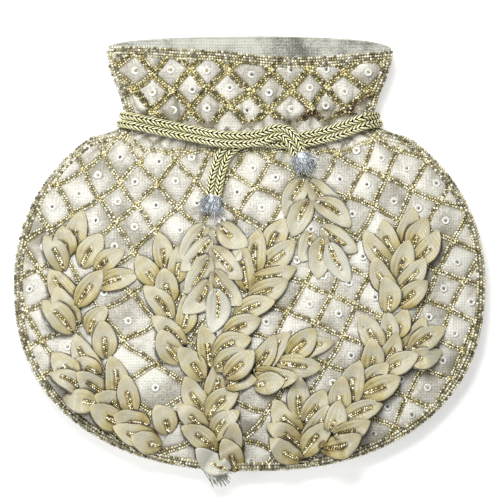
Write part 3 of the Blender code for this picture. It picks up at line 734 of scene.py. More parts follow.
def lattice_edges(cells):
    """Ends of the lattice's edges, each once, as column and row numbers."""
    ends = set()
    for column, row in np.argwhere(cells) - CELL_SPAN:
        around = [(column + 1, row), (column, row + 1), (column - 1, row), (column, row - 1)]
        for step in range(4):
            ends.add(tuple(sorted((around[step], around[step - 1]))))
    return sorted(ends)


def bead_rows(cells, place, rows, keep):
    """Spots and directions of the beads in the rows along every edge."""
    draw = np.random.default_rng(5)
    spots, ways = [], []
    for start, end in lattice_edges(cells):
        share = np.linspace(0, 1, EDGE_STEPS)
        line = np.stack(place(*(first + (last - first) * share
                                for first, last in zip(start, end))), axis=1)
        travelled = travel(line)
        count = max(2, int(round(travelled[-1] / BEAD_PITCH)))
        at = (np.arange(count) + 0.5) / count * travelled[-1]
        x, y = points_at(line, travelled, at).T
        way = unit(np.stack([np.gradient(x), np.gradient(y)], axis=1))
        bow = ROW_BOW * draw.uniform(-1, 1) * np.sin(math.pi * at / travelled[-1])
        for side in rows:
            shift = side * ROW_APART / 2 + bow + draw.normal(0, BEAD_STRAY, count)
            slide = draw.normal(0, BEAD_STRAY, count) + side * BEAD_PITCH / 4
            spots.append(np.stack([x - way[:, 1] * shift + way[:, 0] * slide,
                                   y + way[:, 0] * shift + way[:, 1] * slide], axis=1))
            ways.append(way)
    spots, ways = np.concatenate(spots), np.concatenate(ways)
    kept = keep(spots[:, 0], spots[:, 1])
    spots, ways = spots[kept], ways[kept]
    z = front_silk(spots[:, 0], spots[:, 1])
    return np.column_stack([spots, z]), np.column_stack([ways, 0 * z])


def add_beads(name, spots, ways, finish, lift=BEAD_LIFT):
    """Piece of many beads, sitting on the silk of the front."""
    draw = np.random.default_rng(len(spots))
    up = face_normal(spots[:, 0], spots[:, 1], front_silk)
    ways = ways - up * np.sum(ways * up, axis=1, keepdims=True)
    tilt = draw.normal(0, 0.10, (len(spots), 3))
    sizes = BEAD_SIZE * draw.uniform(0.86, 1.1, (len(spots), 1)) * np.array([[0.86, 1.0, 1.0]])
    corners, faces = strew(SEED_BEAD, spots + up * lift, ways + tilt, up, sizes)
    return add_piece(name, corners, faces, finish)


def even_line(line, pitch):
    """Points and directions at even spacing along a line of points."""
    travelled = travel(line)
    count = int(travelled[-1] / pitch)
    at = (np.arange(count) + 0.5) * travelled[-1] / count
    spots = points_at(line, travelled, at)
    return spots, unit(np.gradient(spots, axis=0))


RIM_CLEAR = 0.0036


def on_body(x, y):
    """Whether the body's bead rows reach a place."""
    return (np.abs(x) < half_width(y) - RIM_CLEAR) & (y > BOTTOM_Y + 0.003) & (y < scallops(x))


spots, ways = bead_rows(body_cells, from_body_lattice, (-1, 1), on_body)
for name, part in (("lattice_beads_lower", spots[:, 1] < -0.03),
                   ("lattice_beads_middle", (spots[:, 1] >= -0.03) & (spots[:, 1] < 0.015)),
                   ("lattice_beads_upper", spots[:, 1] >= 0.015)):
    add_beads(name, spots[part], ways[part], gold_beads)

x = np.linspace(-0.066, 0.066, 400)
for drop in (0, 0.0014):
    y = scallops(x) - drop
    line = np.stack([x, y, front_silk(x, y)], axis=1)
    spots, ways = even_line(line[np.abs(x) < half_width(y) - 0.003], BEAD_PITCH)
    add_beads(f"scallop_beads_{1 if drop else 2}", spots, ways, gold_beads)


def on_frill(x, y):
    """Whether the frill's bead rows reach a place."""
    return ((np.abs(x) < half_width(y) - RIM_CLEAR) & (y < front_mouth(x) - 0.0045)
            & (y > 0.0650 + 1.45 * x ** 2 + 0.002 * np.exp(-((x - 0.012) / 0.010) ** 2)))


spots, ways = bead_rows(frill_cells, from_frill_lattice, (-1.5, 0, 1.5), on_frill)
sunk = deep_folds(spots[:, 0], spots[:, 1]) > 0.08
olive_beads = bead_metal(
    "olive_gold_seed_beads",
    ("#C6BB84", "#A1955C", "#EAE3BA", "#776C3C", "#D3CA9C", "#5A512D", "#B5AA74"), 0.3)
add_beads("frill_beads", spots[~sunk], ways[~sunk], olive_beads)
# the beads deep in the two folds are drawn in dark browns: painted shade of the folds
fold_shade_beads = bead_metal(
    "fold_shade_brown_seed_beads", ("#6E5A3A", "#3E3220", "#A08A5C", "#554429"), 0.35)
add_beads("fold_beads", spots[sunk], ways[sunk], fold_shade_beads, FOLD_LIFT)

# the rows meet in small heaps of yellower beads, most of them near the gathers
yellow_beads = bead_metal(
    "yellow_gold_seed_beads", ("#CBBE86", "#8A7E48", "#E2D9A8", "#ADA064", "#F2ECCB"), 0.3)
heaps = []
for cells, from_lattice, on_cloth in ((body_cells, from_body_lattice, on_body),
                                      (frill_cells, from_frill_lattice, on_frill)):
    crossings = np.array(sorted({end for edge in lattice_edges(cells) for end in edge}))
    draw = np.random.default_rng(17)
    for middle in np.stack(from_lattice(crossings[:, 0], crossings[:, 1]), axis=1):
        many = int(draw.integers(2, 5) + 7 * float(ease((middle[1] - 0.015) / 0.030)))
        off = draw.normal(0, HEAP_SPREAD, (many, 2))
        off *= np.minimum(1, HEAP_REACH / np.linalg.norm(off, axis=1, keepdims=True))
        heap = middle + off
        heaps.append(heap[on_cloth(heap[:, 0], heap[:, 1])])
heaps = np.concatenate(heaps)
spots = np.column_stack([heaps, front_silk(heaps[:, 0], heaps[:, 1])])
ways = np.column_stack([draw.normal(0, 1, (len(spots), 2)), np.zeros(len(spots))])
add_beads("crossing_beads", spots, ways, yellow_beads, HEAP_LIFT)

# Sequins: a pearl-white cup sequin, 4 mm across, in each diamond that lies clear of the
# edges, held by a small dark bead.

SEQUIN_ACROSS = 0.0040
SEQUIN_STRAY = 0.0005
HELD_BEAD = 0.0012

# a sequin one unit across: radius and height of each ring, from the hole out and back under
SEQUIN_SIDES = 12
SEQUIN_PROFILE = ((0.10, 0.02), (0.30, 0.03), (0.50, 0.16), (0.50, 0.13), (0.28, -0.02),
                  (0.10, -0.04))
turn = np.arange(SEQUIN_SIDES) * 2 * math.pi / SEQUIN_SIDES
inner = np.arange(SEQUIN_SIDES)
under = inner + (len(SEQUIN_PROFILE) - 1) * SEQUIN_SIDES
quads = np.concatenate([
    grid_faces(len(SEQUIN_PROFILE), SEQUIN_SIDES, wrap=True),
    np.stack([under, np.roll(under, -1), np.roll(inner, -1), inner], axis=1)])
SEQUIN = (np.array([(reach * math.cos(t), reach * math.sin(t), rise)
                    for reach, rise in SEQUIN_PROFILE for t in turn]), quads[:, ::-1].tolist())

pearl = new_finish(
    "pearl_sequin_film", Base_Color=linear("#F1F0EA"), Roughness=0.22, Coat_Weight=0.6,
    Coat_Roughness=0.06, Specular_IOR_Level=0.7)[0]

middles = []
for cells, from_lattice in ((body_cells, from_body_lattice), (frill_cells, from_frill_lattice)):
    numbers = np.argwhere(cells) - CELL_SPAN
    x, y = from_lattice(numbers[:, 0], numbers[:, 1])
    middles.append(np.stack([x, y], axis=1))
middles = np.concatenate(middles)
draw = np.random.default_rng(3)
middles += draw.normal(0, SEQUIN_STRAY, middles.shape)
x, y = middles[:, 0], middles[:, 1]
kept = (np.abs(x) < half_width(y) - 0.0055) & (y < front_mouth(x) - 0.0060)
kept &= (y > BOTTOM_Y + 0.005) & ((y < scallops(x) - 0.002) | (y > 0.0715))
x, y = x[kept], y[kept]
spots = np.stack([x, y, front_silk(x, y) + 0.0003], axis=1)
up = face_normal(x, y, smooth_front) + draw.normal(0, 0.10, (len(x), 3))
ways = draw.normal(0, 1, (len(x), 3))
ways -= up * np.sum(ways * up, axis=1, keepdims=True) / np.sum(up * up, axis=1, keepdims=True)
corners, faces = strew(SEQUIN, spots, ways, up, np.full((len(x), 3), SEQUIN_ACROSS))
add_piece("cup_sequins", corners, faces, pearl)
dark_beads = bead_metal("dark_gold_seed_beads", ("#6B5E34", "#A8995E", "#4D4426"), 0.3)
corners, faces = strew(SEED_BEAD, spots + up * BEAD_LIFT, ways, up,
                       np.full((len(x), 3), HELD_BEAD))
add_piece("sequin_beads", corners, faces, dark_beads)

# Rim and mouth: three rows of darker gold and silver beads couched over the side seam all
# round, and four rows along the front edge of the mouth.

RIM_BEAD = 0.00165
MOUTH_BEAD = 0.00150
MOUTH_PITCH = 0.0014
old_gold_beads = bead_metal(
    "old_gold_and_silver_beads", ("#9C9264", "#D2CBA6", "#665D3B", "#B3AF97", "#ECE8D2"), 0.3)


def seam_line(inset):
    """Line along the side seam, from the left of the mouth round to the right."""
    turn = np.linspace(0, math.pi / 2, 200)
    level = np.concatenate([WIDEST_Y - POUCH_BELOW * np.cos(turn),
                            np.linspace(WIDEST_Y, MOUTH_FRONT_Y - 0.0010, 260)[1:]])
    right = np.stack([half_width(level), level], axis=1)
    ring = np.concatenate([(right * [-1, 1])[::-1], right[1:]])
    along = unit(np.gradient(ring, axis=0))
    ring = ring + np.stack([-along[:, 1], along[:, 0]], axis=1) * inset
    return np.column_stack([ring, front_silk(ring[:, 0], ring[:, 1])])


draw = np.random.default_rng(8)


def add_old_gold(name, rows, up_at, size):
    """Piece of darker beads along rows, each of spots and directions."""
    spots, ways = (np.concatenate(part) for part in zip(*rows))
    sizes = size * draw.uniform(0.85, 1.1, (len(spots), 1)) * np.array([[0.9, 1, 1]])
    corners, faces = strew(SEED_BEAD, spots, ways + draw.normal(0, 0.1, ways.shape),
                           up_at(spots), sizes)
    return add_piece(name, corners, faces, old_gold_beads)


def straight_up(spots):
    """Upward directions at spots."""
    return np.tile([[0.0, 0.0, 1.0]], (len(spots), 1))


# how far in from the seam each row lies, how far up, and how far apart its beads are
RIM_ROWS = ((0.0006, 0.0002, 0.0015), (0.0020, 0.0010, 0.0015), (0.0036, 0.0012, 0.0014))
rows = []
for inset, rise, pitch in RIM_ROWS:
    line = seam_line(inset)
    line[:, 2] = np.maximum(RIM_Z + rise, line[:, 2] + 0.5 * rise + 0.0001)
    rows.append(even_line(line, pitch))
rim_beads = add_old_gold("rim_beads", rows, straight_up, RIM_BEAD)
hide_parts("rim_piping")

x = np.linspace(-0.0700, 0.0690, 300)
rows = []
for drop in (0.0007, 0.0021, 0.0035, 0.0049):
    y = front_mouth(x) - drop
    line = np.stack([x, y, front_silk(x, y) + BEAD_LIFT], axis=1)
    rows.append(even_line(line, MOUTH_PITCH))
mouth_beads = add_old_gold(
    "mouth_beads", rows, lambda spots: face_normal(spots[:, 0], spots[:, 1], smooth_front),
    MOUTH_BEAD)
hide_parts("mouth_trim")

# Leaves: champagne organza petals, cupped and pleated at the base, 16 to 22 mm long, each
# sewn down through a double row of gold and copper beads along its lower part. They
# overlap like shingles, those nearer the root over the next ones.


def ramp(tree, value, first, steps, last):
    """Colour ramp from a first to a last hex colour, with steps between."""
    made = node(tree, "ValToRGB", {"Fac": value})
    elements = made.color_ramp.elements
    for place_on, shade in steps:
        elements.new(place_on).color = linear(shade)
    elements[0].color = linear(first)
    elements[-1].color = linear(last)
    return made.outputs[0]


organza, tree, shader, place = new_finish(
    "champagne_organza", Roughness=0.42, Sheen_Weight=0.5, Sheen_Roughness=0.3, IOR=1.45)
cloud = noise(tree, place, 160.0, 3.0)
shifted = maths(tree, "MULTIPLY_ADD", cloud, 0.9, share_of(tree, "from_base"))
# darker and olive towards the base: painted shade where the leaves overlap
along = ramp(tree, ranged(tree, shifted, From_Min=0.30, From_Max=1.35), "#7A6A34",
             ((0.30, "#B0A168"), (0.52, "#CCC296"), (0.75, "#CDCAB8")), "#CFC7A6")
# across the leaf: painted shade in the sewn crease by the midrib beads, light and cream bands, a
# light line on the rolled edge and a dark painted contact shadow at the very edge
frayed = maths(tree, "ADD", share_of(tree, "from_rib"),
               ranged(tree, cloud, To_Min=-0.16, To_Max=0.16))
across = ramp(tree, frayed, "#33260F",
              ((0.14, "#5F4D2C"), (0.24, "#CFC7AE"), (0.42, "#FFFFFF"), (0.58, "#E9E3CE"),
               (0.64, "#FFFFFF"), (0.78, "#EAE4CF"), (0.86, "#FFFFFF"), (0.92, "#7A6C3C")),
              "#32270E")
colour = blend(tree, 1.0, along, across, "MULTIPLY")
island = node(tree, "NewGeometry").outputs["Random Per Island"]
cool = ranged(tree, island, From_Min=0.55, To_Max=0.75)
colour = blend(tree, cool, colour, "#B9BBB2", "SOFT_LIGHT")
colour = blend(tree, share_of(tree, "bleached"), colour, "#DCDCD0")
# painted shade where a higher leaf lies close by
colour = blend(tree, share_of(tree, "covered_shade"), colour, "#2A1F0B")
tree.links.new(colour, shader.inputs["Base Color"])
add_relief(tree, shader, waves(tree, place, 330.0, 2.0, "DIAGONAL"), 0.4, 0.0003)
copper_beads = bead_metal(
    "gold_and_copper_seed_beads",
    ("#DDD19A", "#B3A268", "#F7F1D2", "#6B5A30", "#D3C68C", "#FBF6DE", "#8C7A44"), 0.25)

LEAF_ALONG = 21
LEAF_ACROSS = 17
LEAF_THICK = 0.00022
LEAF_OVER_BEADS = 0.0013
MIDRIB_BEAD = 0.00128
MIDRIB_PITCH = 0.00118
MIDRIB_APART = 0.00118
SEWN_PAST = 0.0012
LEAF_SHORTEST = 0.0160
LEAF_LONGEST = 0.0224

# top of what lies on the face so far, in cells of half a millimetre: each leaf is laid on it
CELL = 0.0005
CELLS_OUT = 260
across_cells = (np.arange(2 * CELLS_OUT) + 0.5 - CELLS_OUT) * CELL
laid = smooth_front(*np.meshgrid(across_cells, across_cells, indexing="ij")) + LEAF_OVER_BEADS


def cell_of(x, y):
    """Cell numbers of a place on the face."""
    return tuple(np.clip((np.asarray(part) / CELL + CELLS_OUT).astype(int), 0,
                         2 * CELLS_OUT - 1) for part in (x, y))


def lay(x, y, shape):
    """Heights of a leaf of a shape laid on what is there. The leaf then counts as laid."""
    need = np.percentile(laid[cell_of(x, y)] - shape, 85, axis=1)
    even = np.convolve(np.pad(need, 3, mode="edge"), np.ones(7) / 7, "valid")
    z = (even + 0.5 * max(0, np.max(need - even)) + 0.0001)[:, None] + shape
    fine = np.linspace(0, 1, 4)[:3]
    for a in fine:
        for b in fine:
            x_fine, y_fine, z_fine = (
                (1 - a) * (1 - b) * part[:-1, :-1] + a * (1 - b) * part[1:, :-1]
                + (1 - a) * b * part[:-1, 1:] + a * b * part[1:, 1:] for part in (x, y, z))
            np.maximum.at(laid, cell_of(x_fine, y_fine), z_fine + LEAF_THICK + 0.0001)
    return z


def leaf_mesh(base, tip, width, sewn, draw):
    """Corners and faces of one petal from its base to its tip, sewn down for a share of it."""
    u = np.linspace(0, 1, LEAF_ALONG)[:, None]
    v = np.linspace(-1, 1, LEAF_ACROSS)[None, :]
    ahead = tip - base
    length = np.linalg.norm(ahead)
    ahead = ahead / length
    aside = np.array([-ahead[1], ahead[0]])
    lean = draw.uniform(-0.11, 0.11)
    wide = width / 2 * np.sin(math.pi * np.clip(u, 0.02, 0.985) ** 0.88) ** 0.54
    along = u * length * (1 - 0.03 * v ** 2)
    side = v * wide + lean * length * np.sin(math.pi * u)
    x = base[0] + ahead[0] * along + aside[0] * side
    y = base[1] + ahead[1] * along + aside[1] * side
    lift = np.where(v < 0, draw.uniform(0.2, 1.8), draw.uniform(0.2, 1.8))
    boat = 0.0011 * lift * np.abs(v) ** 1.5 * np.sin(math.pi * np.clip(u, 0.03, 1) ** 0.7)
    rib = -0.0007 * np.exp(-(v / 0.20) ** 2) * ease((sewn + 0.12 - u) / 0.12)
    pleat = 0.00030 * np.cos(4.5 * math.pi * v + draw.uniform(0, 3)) * (1 - u) ** 1.2
    roll = -0.0009 * np.clip((np.abs(v) - 0.80) / 0.20, 0, 1) ** 2
    ripple = 0.0003 * np.sin(7 * u + draw.uniform(0, 6)) * v * np.abs(v)
    dip = -0.0010 * np.clip((u - 0.80) / 0.20, 0, 1) ** 2
    tilt = draw.uniform(-0.0006, 0.0006) * v * u
    rise = draw.uniform(0.0002, 0.0009) * u
    z = lay(x, y, boat + rib + pleat + roll + ripple + dip + tilt + rise)
    top = np.stack([x, y, z + LEAF_THICK], axis=-1).reshape(-1, 3)
    under = np.stack([x, y, z], axis=-1).reshape(-1, 3)
    count = LEAF_ALONG * LEAF_ACROSS
    ring, after = edge_of(np.arange(count).reshape(LEAF_ALONG, LEAF_ACROSS))
    faces = [grid_faces(LEAF_ALONG, LEAF_ACROSS)[:, ::-1],
             grid_faces(LEAF_ALONG, LEAF_ACROSS, count),
             np.stack([ring, after, after + count, ring + count], axis=1)]
    middle = LEAF_ACROSS // 2
    spine = np.stack([x[:, middle], y[:, middle], z[:, middle] + LEAF_THICK], axis=1)
    past_beads = 0.5 * ease((u - sewn + 0.02) / 0.06)
    shares = np.stack([u + 0 * v, np.maximum(np.abs(v), past_beads)])
    return np.concatenate([top, under]), np.concatenate(faces), spine, shares


def on_face(points):
    """Places on the face, in metres, from the drawn face's pixels."""
    points = np.asarray(points, float)
    return np.stack([(points[..., 0] - FACE_MIDDLE[0]) * FACE_PIXEL,
                     (FACE_MIDDLE[1] - points[..., 1]) * FACE_PIXEL], axis=-1)


THREAD_RINGS = 5
THREAD_CORNERS = 3 * THREAD_RINGS


def loose_thread(root, way, bow, long, thick):
    """Corners and faces of one loose thread, three-sided and a little bowed."""
    points = np.array([root + way * s * long + bow * math.sin(3 * s)
                       for s in np.linspace(0, 1, THREAD_RINGS)])
    thin = np.cross(way, [0, 0, 1.0])
    thin /= max(np.linalg.norm(thin), 1e-6)
    third = np.cross(thin, way)
    ring = np.array([thin * thick, third * 0.9 * thick - thin * 0.55 * thick,
                     -third * 0.9 * thick - thin * 0.55 * thick])
    return (points[:, None] + ring[None]).reshape(-1, 3), tube_faces(THREAD_RINGS, 3)


LEAF_SHARES = ("from_base", "from_rib", "bleached")


def add_spray(name, bead_lines, node_name, width=0.0124, bleached=0, paler=0.0):
    """A spray's leaves and their bead midribs. Each bead line is its foot and its end."""
    draw = np.random.default_rng(sum(name.encode()))
    lines = on_face(np.array(bead_lines).reshape(-1, 2, 2))
    corners, faces, shares, spots, ways = [], [], [], [], []
    for foot, end in lines[::-1]:
        reach = np.linalg.norm(end - foot)
        ahead = (end - foot) / reach
        base = foot - ahead * SEWN_PAST
        length = min(LEAF_LONGEST, max(LEAF_SHORTEST,
                                       reach + SEWN_PAST + draw.uniform(0.0078, 0.0104)))
        points, quads, spine, share = leaf_mesh(
            base, base + ahead * length, width * draw.uniform(0.88, 1.12),
            (reach + SEWN_PAST) / length, draw)
        faces.append(quads + sum(len(part) for part in corners))
        corners.append(points)
        share = np.concatenate([share.reshape(2, -1)] * 2, axis=1)
        white = draw.uniform(0, 0.35) ** 1.5 + paler
        if len(lines) - len(shares) <= bleached:
            white = 0.75
        shares.append(np.vstack([share, np.full((1, share.shape[1]), white)]))
        travelled = np.linspace(0, length, len(spine))
        count = max(5, int(round(reach / MIDRIB_PITCH)))
        at = SEWN_PAST + (np.arange(count) + 0.5) / count * reach
        middle = points_at(spine, travelled, at)
        way = unit(np.gradient(middle, axis=0))
        aside = np.stack([-way[:, 1], way[:, 0], 0 * way[:, 0]], axis=1)
        swell_out = 0.4 + 0.6 * np.sin(math.pi * (np.arange(count) + 0.8) / (count + 0.6))
        for side in (-1, 1):
            shift = side * MIDRIB_APART / 2 * swell_out[:, None] * aside + way * side * 0.0003
            row = middle + shift + [0, 0, MIDRIB_BEAD * 0.32]
            np.maximum.at(laid, cell_of(row[:, 0], row[:, 1]), row[:, 2] + MIDRIB_BEAD * 0.4)
            spots.append(row)
            ways.append(way)
    leaves = add_piece(name, np.concatenate(corners), np.concatenate(faces).tolist(),
                       organza)
    for share_name, share in zip(LEAF_SHARES, np.concatenate(shares, axis=1)):
        add_shares(leaves, share_name, share)
    sprays.append(leaves)
    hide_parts(node_name)
    spots, ways = np.concatenate(spots), np.concatenate(ways)
    up = straight_up(spots)
    up -= ways * np.sum(ways * up, axis=1, keepdims=True)
    sizes = MIDRIB_BEAD * draw.uniform(0.88, 1.12, (len(spots), 1)) * np.array([[0.92, 1, 1]])
    corners, faces = strew(SEED_BEAD, spots, ways + draw.normal(0, 0.1, ways.shape), up, sizes)
    ribs = add_piece(name + "_midribs", corners, faces, copper_beads)
    return leaves, ribs


sprays = []
FRAYED_THREADS = 64


def add_fray():
    """Threads of the lowest leaf's torn edge, frayed over the bottom seam."""
    draw = np.random.default_rng(23)
    corners, faces = [], []
    for number in range(FRAYED_THREADS):
        x = on_face([draw.uniform(203, 219), 0])[0]
        y = on_face([0, draw.uniform(462, 471)])[1]
        way = np.array([draw.uniform(0.15, 1.1), draw.uniform(-1.1, -0.5),
                        draw.uniform(-0.30, -0.02)])
        way /= np.linalg.norm(way)
        root = np.array([x, y, smooth_front(x, y) + draw.uniform(0.0008, 0.0030)])
        points, sides = loose_thread(root, way, np.array([0, 0.0004, 0.0004]),
                                     draw.uniform(0.006, 0.0110), 0.00026)
        faces += [[corner + THREAD_CORNERS * number for corner in side] for side in sides]
        corners.append(points)
    fray = add_piece("frayed_leaf_threads", np.concatenate(corners), faces, organza)
    for share_name, share in zip(LEAF_SHARES, (0.8, 0.5, 0.8)):
        add_shares(fray, share_name, np.full(len(fray.data.vertices), share))


SPRAYS = {
    "left": [
        (159, 446, 149.5, 443), (167.7, 432, 163, 421), (154, 436, 127, 430),
        (147.7, 424.6, 129.8, 420), (122.7, 426, 107.5, 416.6), (132.5, 412, 128, 390.7),
        (122.7, 413, 109, 404), (95, 403, 82.5, 401), (114.6, 398, 112, 370),
        (112, 396, 87.9, 380), (86, 394, 59.3, 378), (75.4, 381, 62.9, 365.7),
        (98.6, 373.8, 86, 368), (98.6, 369, 81.6, 345), (105.7, 356, 104, 337),
        (90.4, 332.9, 97.5, 321.3), (71.6, 331, 52.9, 311.4), (77, 322, 63.6, 300.7),
        (77.9, 304.3, 92, 284.6), (77, 300.7, 55.5, 275.7), (100, 285.5, 121.6, 279.3),
        (96.6, 270.4, 109, 261.4), (62.7, 268.6, 52, 249), (82.3, 265, 93, 248),
        (65.8, 255, 64.5, 243.6), (71.6, 250, 77, 230)],
    "middle": [
        (227.8, 469, 213, 459.8), (237, 469, 230.6, 455), (221.3, 455, 228.7, 439.4),
        (215.8, 451.5, 194.5, 435.7), (214, 438.5, 227.8, 422.8), (206.5, 433, 190, 416.3),
        (209, 417, 226.8, 400), (207.5, 412.6, 193.6, 390.5), (209.8, 401, 216, 377.7),
        (202, 378.4, 190.8, 363.6), (209, 366, 205.4, 343.8), (179.7, 361.8, 169.6, 346),
        (183, 344.4, 164.8, 327.8), (180.6, 332.8, 183, 313), (170.6, 318.7, 154, 298),
        (169.8, 301.3, 166.5, 283), (155.7, 283, 147.4, 271.4), (176.4, 280.6, 178, 262),
        (164, 266.5, 161.5, 249)],
    "centre": [
        (217, 367.9, 231, 359), (215, 357, 236.6, 345.5), (225, 334.8, 247, 325),
        (235.7, 316, 260.7, 306), (251, 295.8, 271, 287.8), (247.8, 288.6, 245.4, 260.7),
        (255.7, 277.4, 280.5, 271.8), (255.7, 271, 258, 243), (262, 267, 282.8, 250.3),
        (268.5, 255, 279.7, 233.6)],
    "arm": [
        (226.8, 375.9, 242, 361.6), (227.7, 385.7, 239.3, 383), (256, 385.7, 265, 384),
        (257, 371.4, 287.5, 375.9), (252.7, 370.5, 266, 350), (267, 367, 283, 342.9),
        (279.5, 362.5, 307, 366), (289.3, 354.5, 304.5, 340), (294.6, 357, 323, 346.4)],
    "upright": [
        (300, 458.6, 285.7, 448.8), (303.6, 454, 319.6, 436), (300, 446, 283, 435),
        (303.6, 439, 319.6, 417.5), (299, 429, 285.7, 414), (305.4, 420, 316, 404),
        (300, 416.6, 300, 396)],
    "lower_right": [
        (323, 447.9, 346.4, 440.7), (335.7, 433.6, 354.5, 427), (330, 429, 333, 420),
        (343.75, 420, 373, 407.7), (342.9, 417.5, 342.9, 396), (353.6, 400.5, 357, 378),
        (364, 393.7, 384.8, 384.6), (360.7, 395, 376.8, 376.4), (367, 375.5, 369.6, 356),
        (385.6, 370.5, 400.5, 363), (377.3, 369.7, 390.6, 346.4), (409.6, 358.9, 422, 356.4),
        (379.8, 351.4, 368, 329), (410.5, 352, 432.8, 336.5), (401.3, 352, 417, 329),
        (383, 351.4, 386.4, 324), (394.7, 335.7, 399.7, 324)],
    "upper_right": [
        (388, 310, 387, 296.6), (400.7, 304.6, 415, 292), (395.4, 293, 382, 270.7),
        (398, 290.4, 416.8, 269), (398, 278.75, 404, 258), (390, 264.5, 374.8, 244.8),
        (413, 262.7, 427.5, 244.8), (397, 255.5, 389, 235), (412, 250, 418.6, 236),
        (402.5, 248.4, 408.75, 226)]}
for place_on, bead_lines in SPRAYS.items():
    add_spray(f"leaves_{place_on}_spray", bead_lines, f"leaf_spray_{place_on}",
              bleached=1 if place_on == "middle" else 0)
    if place_on == "middle":
        add_fray()

# Drawstring: two olive-gold zari cords, 3.8 mm across, each a round braid of slanted strands
# in four columns, laid side by side round the neck and crossed in front.

CORD_DIAMETER = 0.0038
CORD_SPACING = 0.0043
CORD_STEP = 0.0005
CORD_SIDES = 40
BRAID_COLUMNS = 4
BRAID_PITCH = 0.0023
CORD_RISE = CORD_DIAMETER / 2 + 0.0004
UNDER_PASS = (
    (-18.2, 28.6, 0.6), (-17.2, 35.0, 0.0), (-15.6, 42.0, 0.0), (-12.6, 49.4, 0.0),
    (-7.2, 55.0, 0.0), (0.5, 57.4, 0.0), (9.0, 57.2, 0.0), (17.0, 56.6, 0.0), (25.5, 56.8, 0.0),
    (34.5, 58.6, 0.0), (44.0, 61.0, 0.0), (52.0, 64.0, 0.4), (57.6, 66.0, 1.5))
OVER_PASS = (
    (-57.6, 66.0, 1.5), (-51.0, 64.6, 0.4), (-42.0, 62.6, 0.0), (-32.0, 60.6, 0.0),
    (-24.0, 59.0, 1.2), (-16.5, 57.6, 3.8), (-9.0, 57.0, 4.3), (-1.0, 57.0, 4.3),
    (7.0, 58.4, 4.3), (13.0, 60.6, 4.3), (18.4, 60.0, 4.3), (22.4, 55.4, 4.9),
    (24.8, 49.8, 3.8))
ROUND_THE_BACK = (
    (63.0, 66.9, 17.8), (64.1, 66.9, 12.4), (62.4, 66.9, 7.2), (57.0, 66.9, 4.2),
    (47.0, 66.8, 3.3), (33.0, 66.6, 3.0), (16.0, 66.6, 2.9), (0.0, 66.6, 2.9),
    (-16.0, 66.6, 2.9), (-33.0, 66.6, 3.0), (-47.0, 66.8, 3.3), (-57.0, 66.9, 4.2),
    (-62.4, 66.9, 7.2), (-64.1, 66.9, 12.4), (-63.0, 66.9, 17.8))


def cord_floor(x, y):
    """Height that the cord rests on."""
    high = [smooth_front(x * share, y + step) for share in (0.96, 1)
            for step in (-CORD_SPACING, 0, CORD_SPACING)]
    return np.max(high, axis=0) + np.where(y > 0.048, 0.0014, 0.0013)


def smooth_line(points, step):
    """Even points on the smooth curve through a route."""
    route = np.array(points)
    before = np.concatenate([route[:1], route[:-1]])[:-1]
    after = np.concatenate([route[2:], route[-1:]])
    start, end = route[:-1], route[1:]
    t = np.linspace(0, 1, 24, endpoint=False)[None, :, None]
    a, b, c, d = (part[:, None, :] for part in (before, start, end, after))
    fine = 0.5 * (2 * b + (c - a) * t + (2 * a - 5 * b + 4 * c - d) * t ** 2
                  + (3 * b - a - 3 * c + d) * t ** 3)
    fine = np.concatenate([fine.reshape(-1, 3), route[-1:]])
    travelled = travel(fine)
    return points_at(fine, travelled, np.linspace(0, travelled[-1], int(travelled[-1] / step) + 1))


def carried_frames(line):
    """Directions along a line and across it, carried along without twisting."""
    ways = unit(np.gradient(line, axis=0))
    across = np.zeros_like(ways)
    last = np.array([1.0, 0.0, 0.0])
    for number, way in enumerate(ways):
        last = last - way * last.dot(way)
        last = last / np.linalg.norm(last)
        across[number] = last
    return ways, across


def braided_cord(line, radius):
    """Corners, faces and hollows of a round braid: columns of slanted strands."""
    ways, across = carried_frames(line)
    third = np.cross(ways, across)
    travelled = travel(line)[:, None]
    turn = np.arange(CORD_SIDES) * 2 * math.pi / CORD_SIDES
    column, beside = np.divmod(np.arange(CORD_SIDES) * BRAID_COLUMNS / CORD_SIDES, 1)
    beside = 2 * beside - 1
    uneven = (0.13 * np.sin(travelled * 430 + 2.1 * column)
              + 0.10 * np.sin(travelled * 1130 + 3.7 * column))
    phase = (travelled / BRAID_PITCH + 0.5 * (column // 2) + uneven
             + 0.72 * beside * np.where(column % 2 == 0, 1, -1))
    strand = np.abs(np.cos(math.pi * phase)) ** 1.5 * (1 - np.abs(beside) ** 6) ** 0.5
    reach = radius * (0.64 + 0.36 * strand ** 0.6)
    reach[0] *= 0.6
    reach[-1] *= 0.6
    corners = (line[:, None] + across[:, None] * (reach * np.cos(turn))[..., None]
               + third[:, None] * (reach * np.sin(turn))[..., None])
    return corners.reshape(-1, 3), tube_faces(len(line), CORD_SIDES), 1 - strand


zari, tree, shader, place = new_finish(
    "olive_gold_zari_cord", Roughness=0.38, Metallic=0.25, Sheen_Weight=0.2)
fleck = noise(tree, place, 900.0, 2.0)
colour = blend(tree, ranged(tree, fleck, From_Min=0.35, From_Max=0.65), "#F3EAA0", "#FFFFE0")
# the hollows between the strands are painted near black and lose their shine: painted shade
deep = ranged(tree, share_of(tree, "hollow_shade"), From_Min=0.42, From_Max=0.66)
tree.links.new(blend(tree, deep, colour, "#0E0C03"), shader.inputs["Base Color"])
for socket, most in (("Specular IOR Level", 0.5), ("Sheen Weight", 0.2)):
    tree.links.new(ranged(tree, deep, To_Min=most, To_Max=0.0), shader.inputs[socket])
add_relief(tree, shader, fleck, 0.5, 0.0002)


def on_floor(route):
    """Part of a route in metres, its heights counted from the cord's rest on the silk."""
    return [(x / 1000, y / 1000,
             float(cord_floor(x / 1000, y / 1000)) + CORD_RISE + lift / 1000)
            for x, y, lift in route]


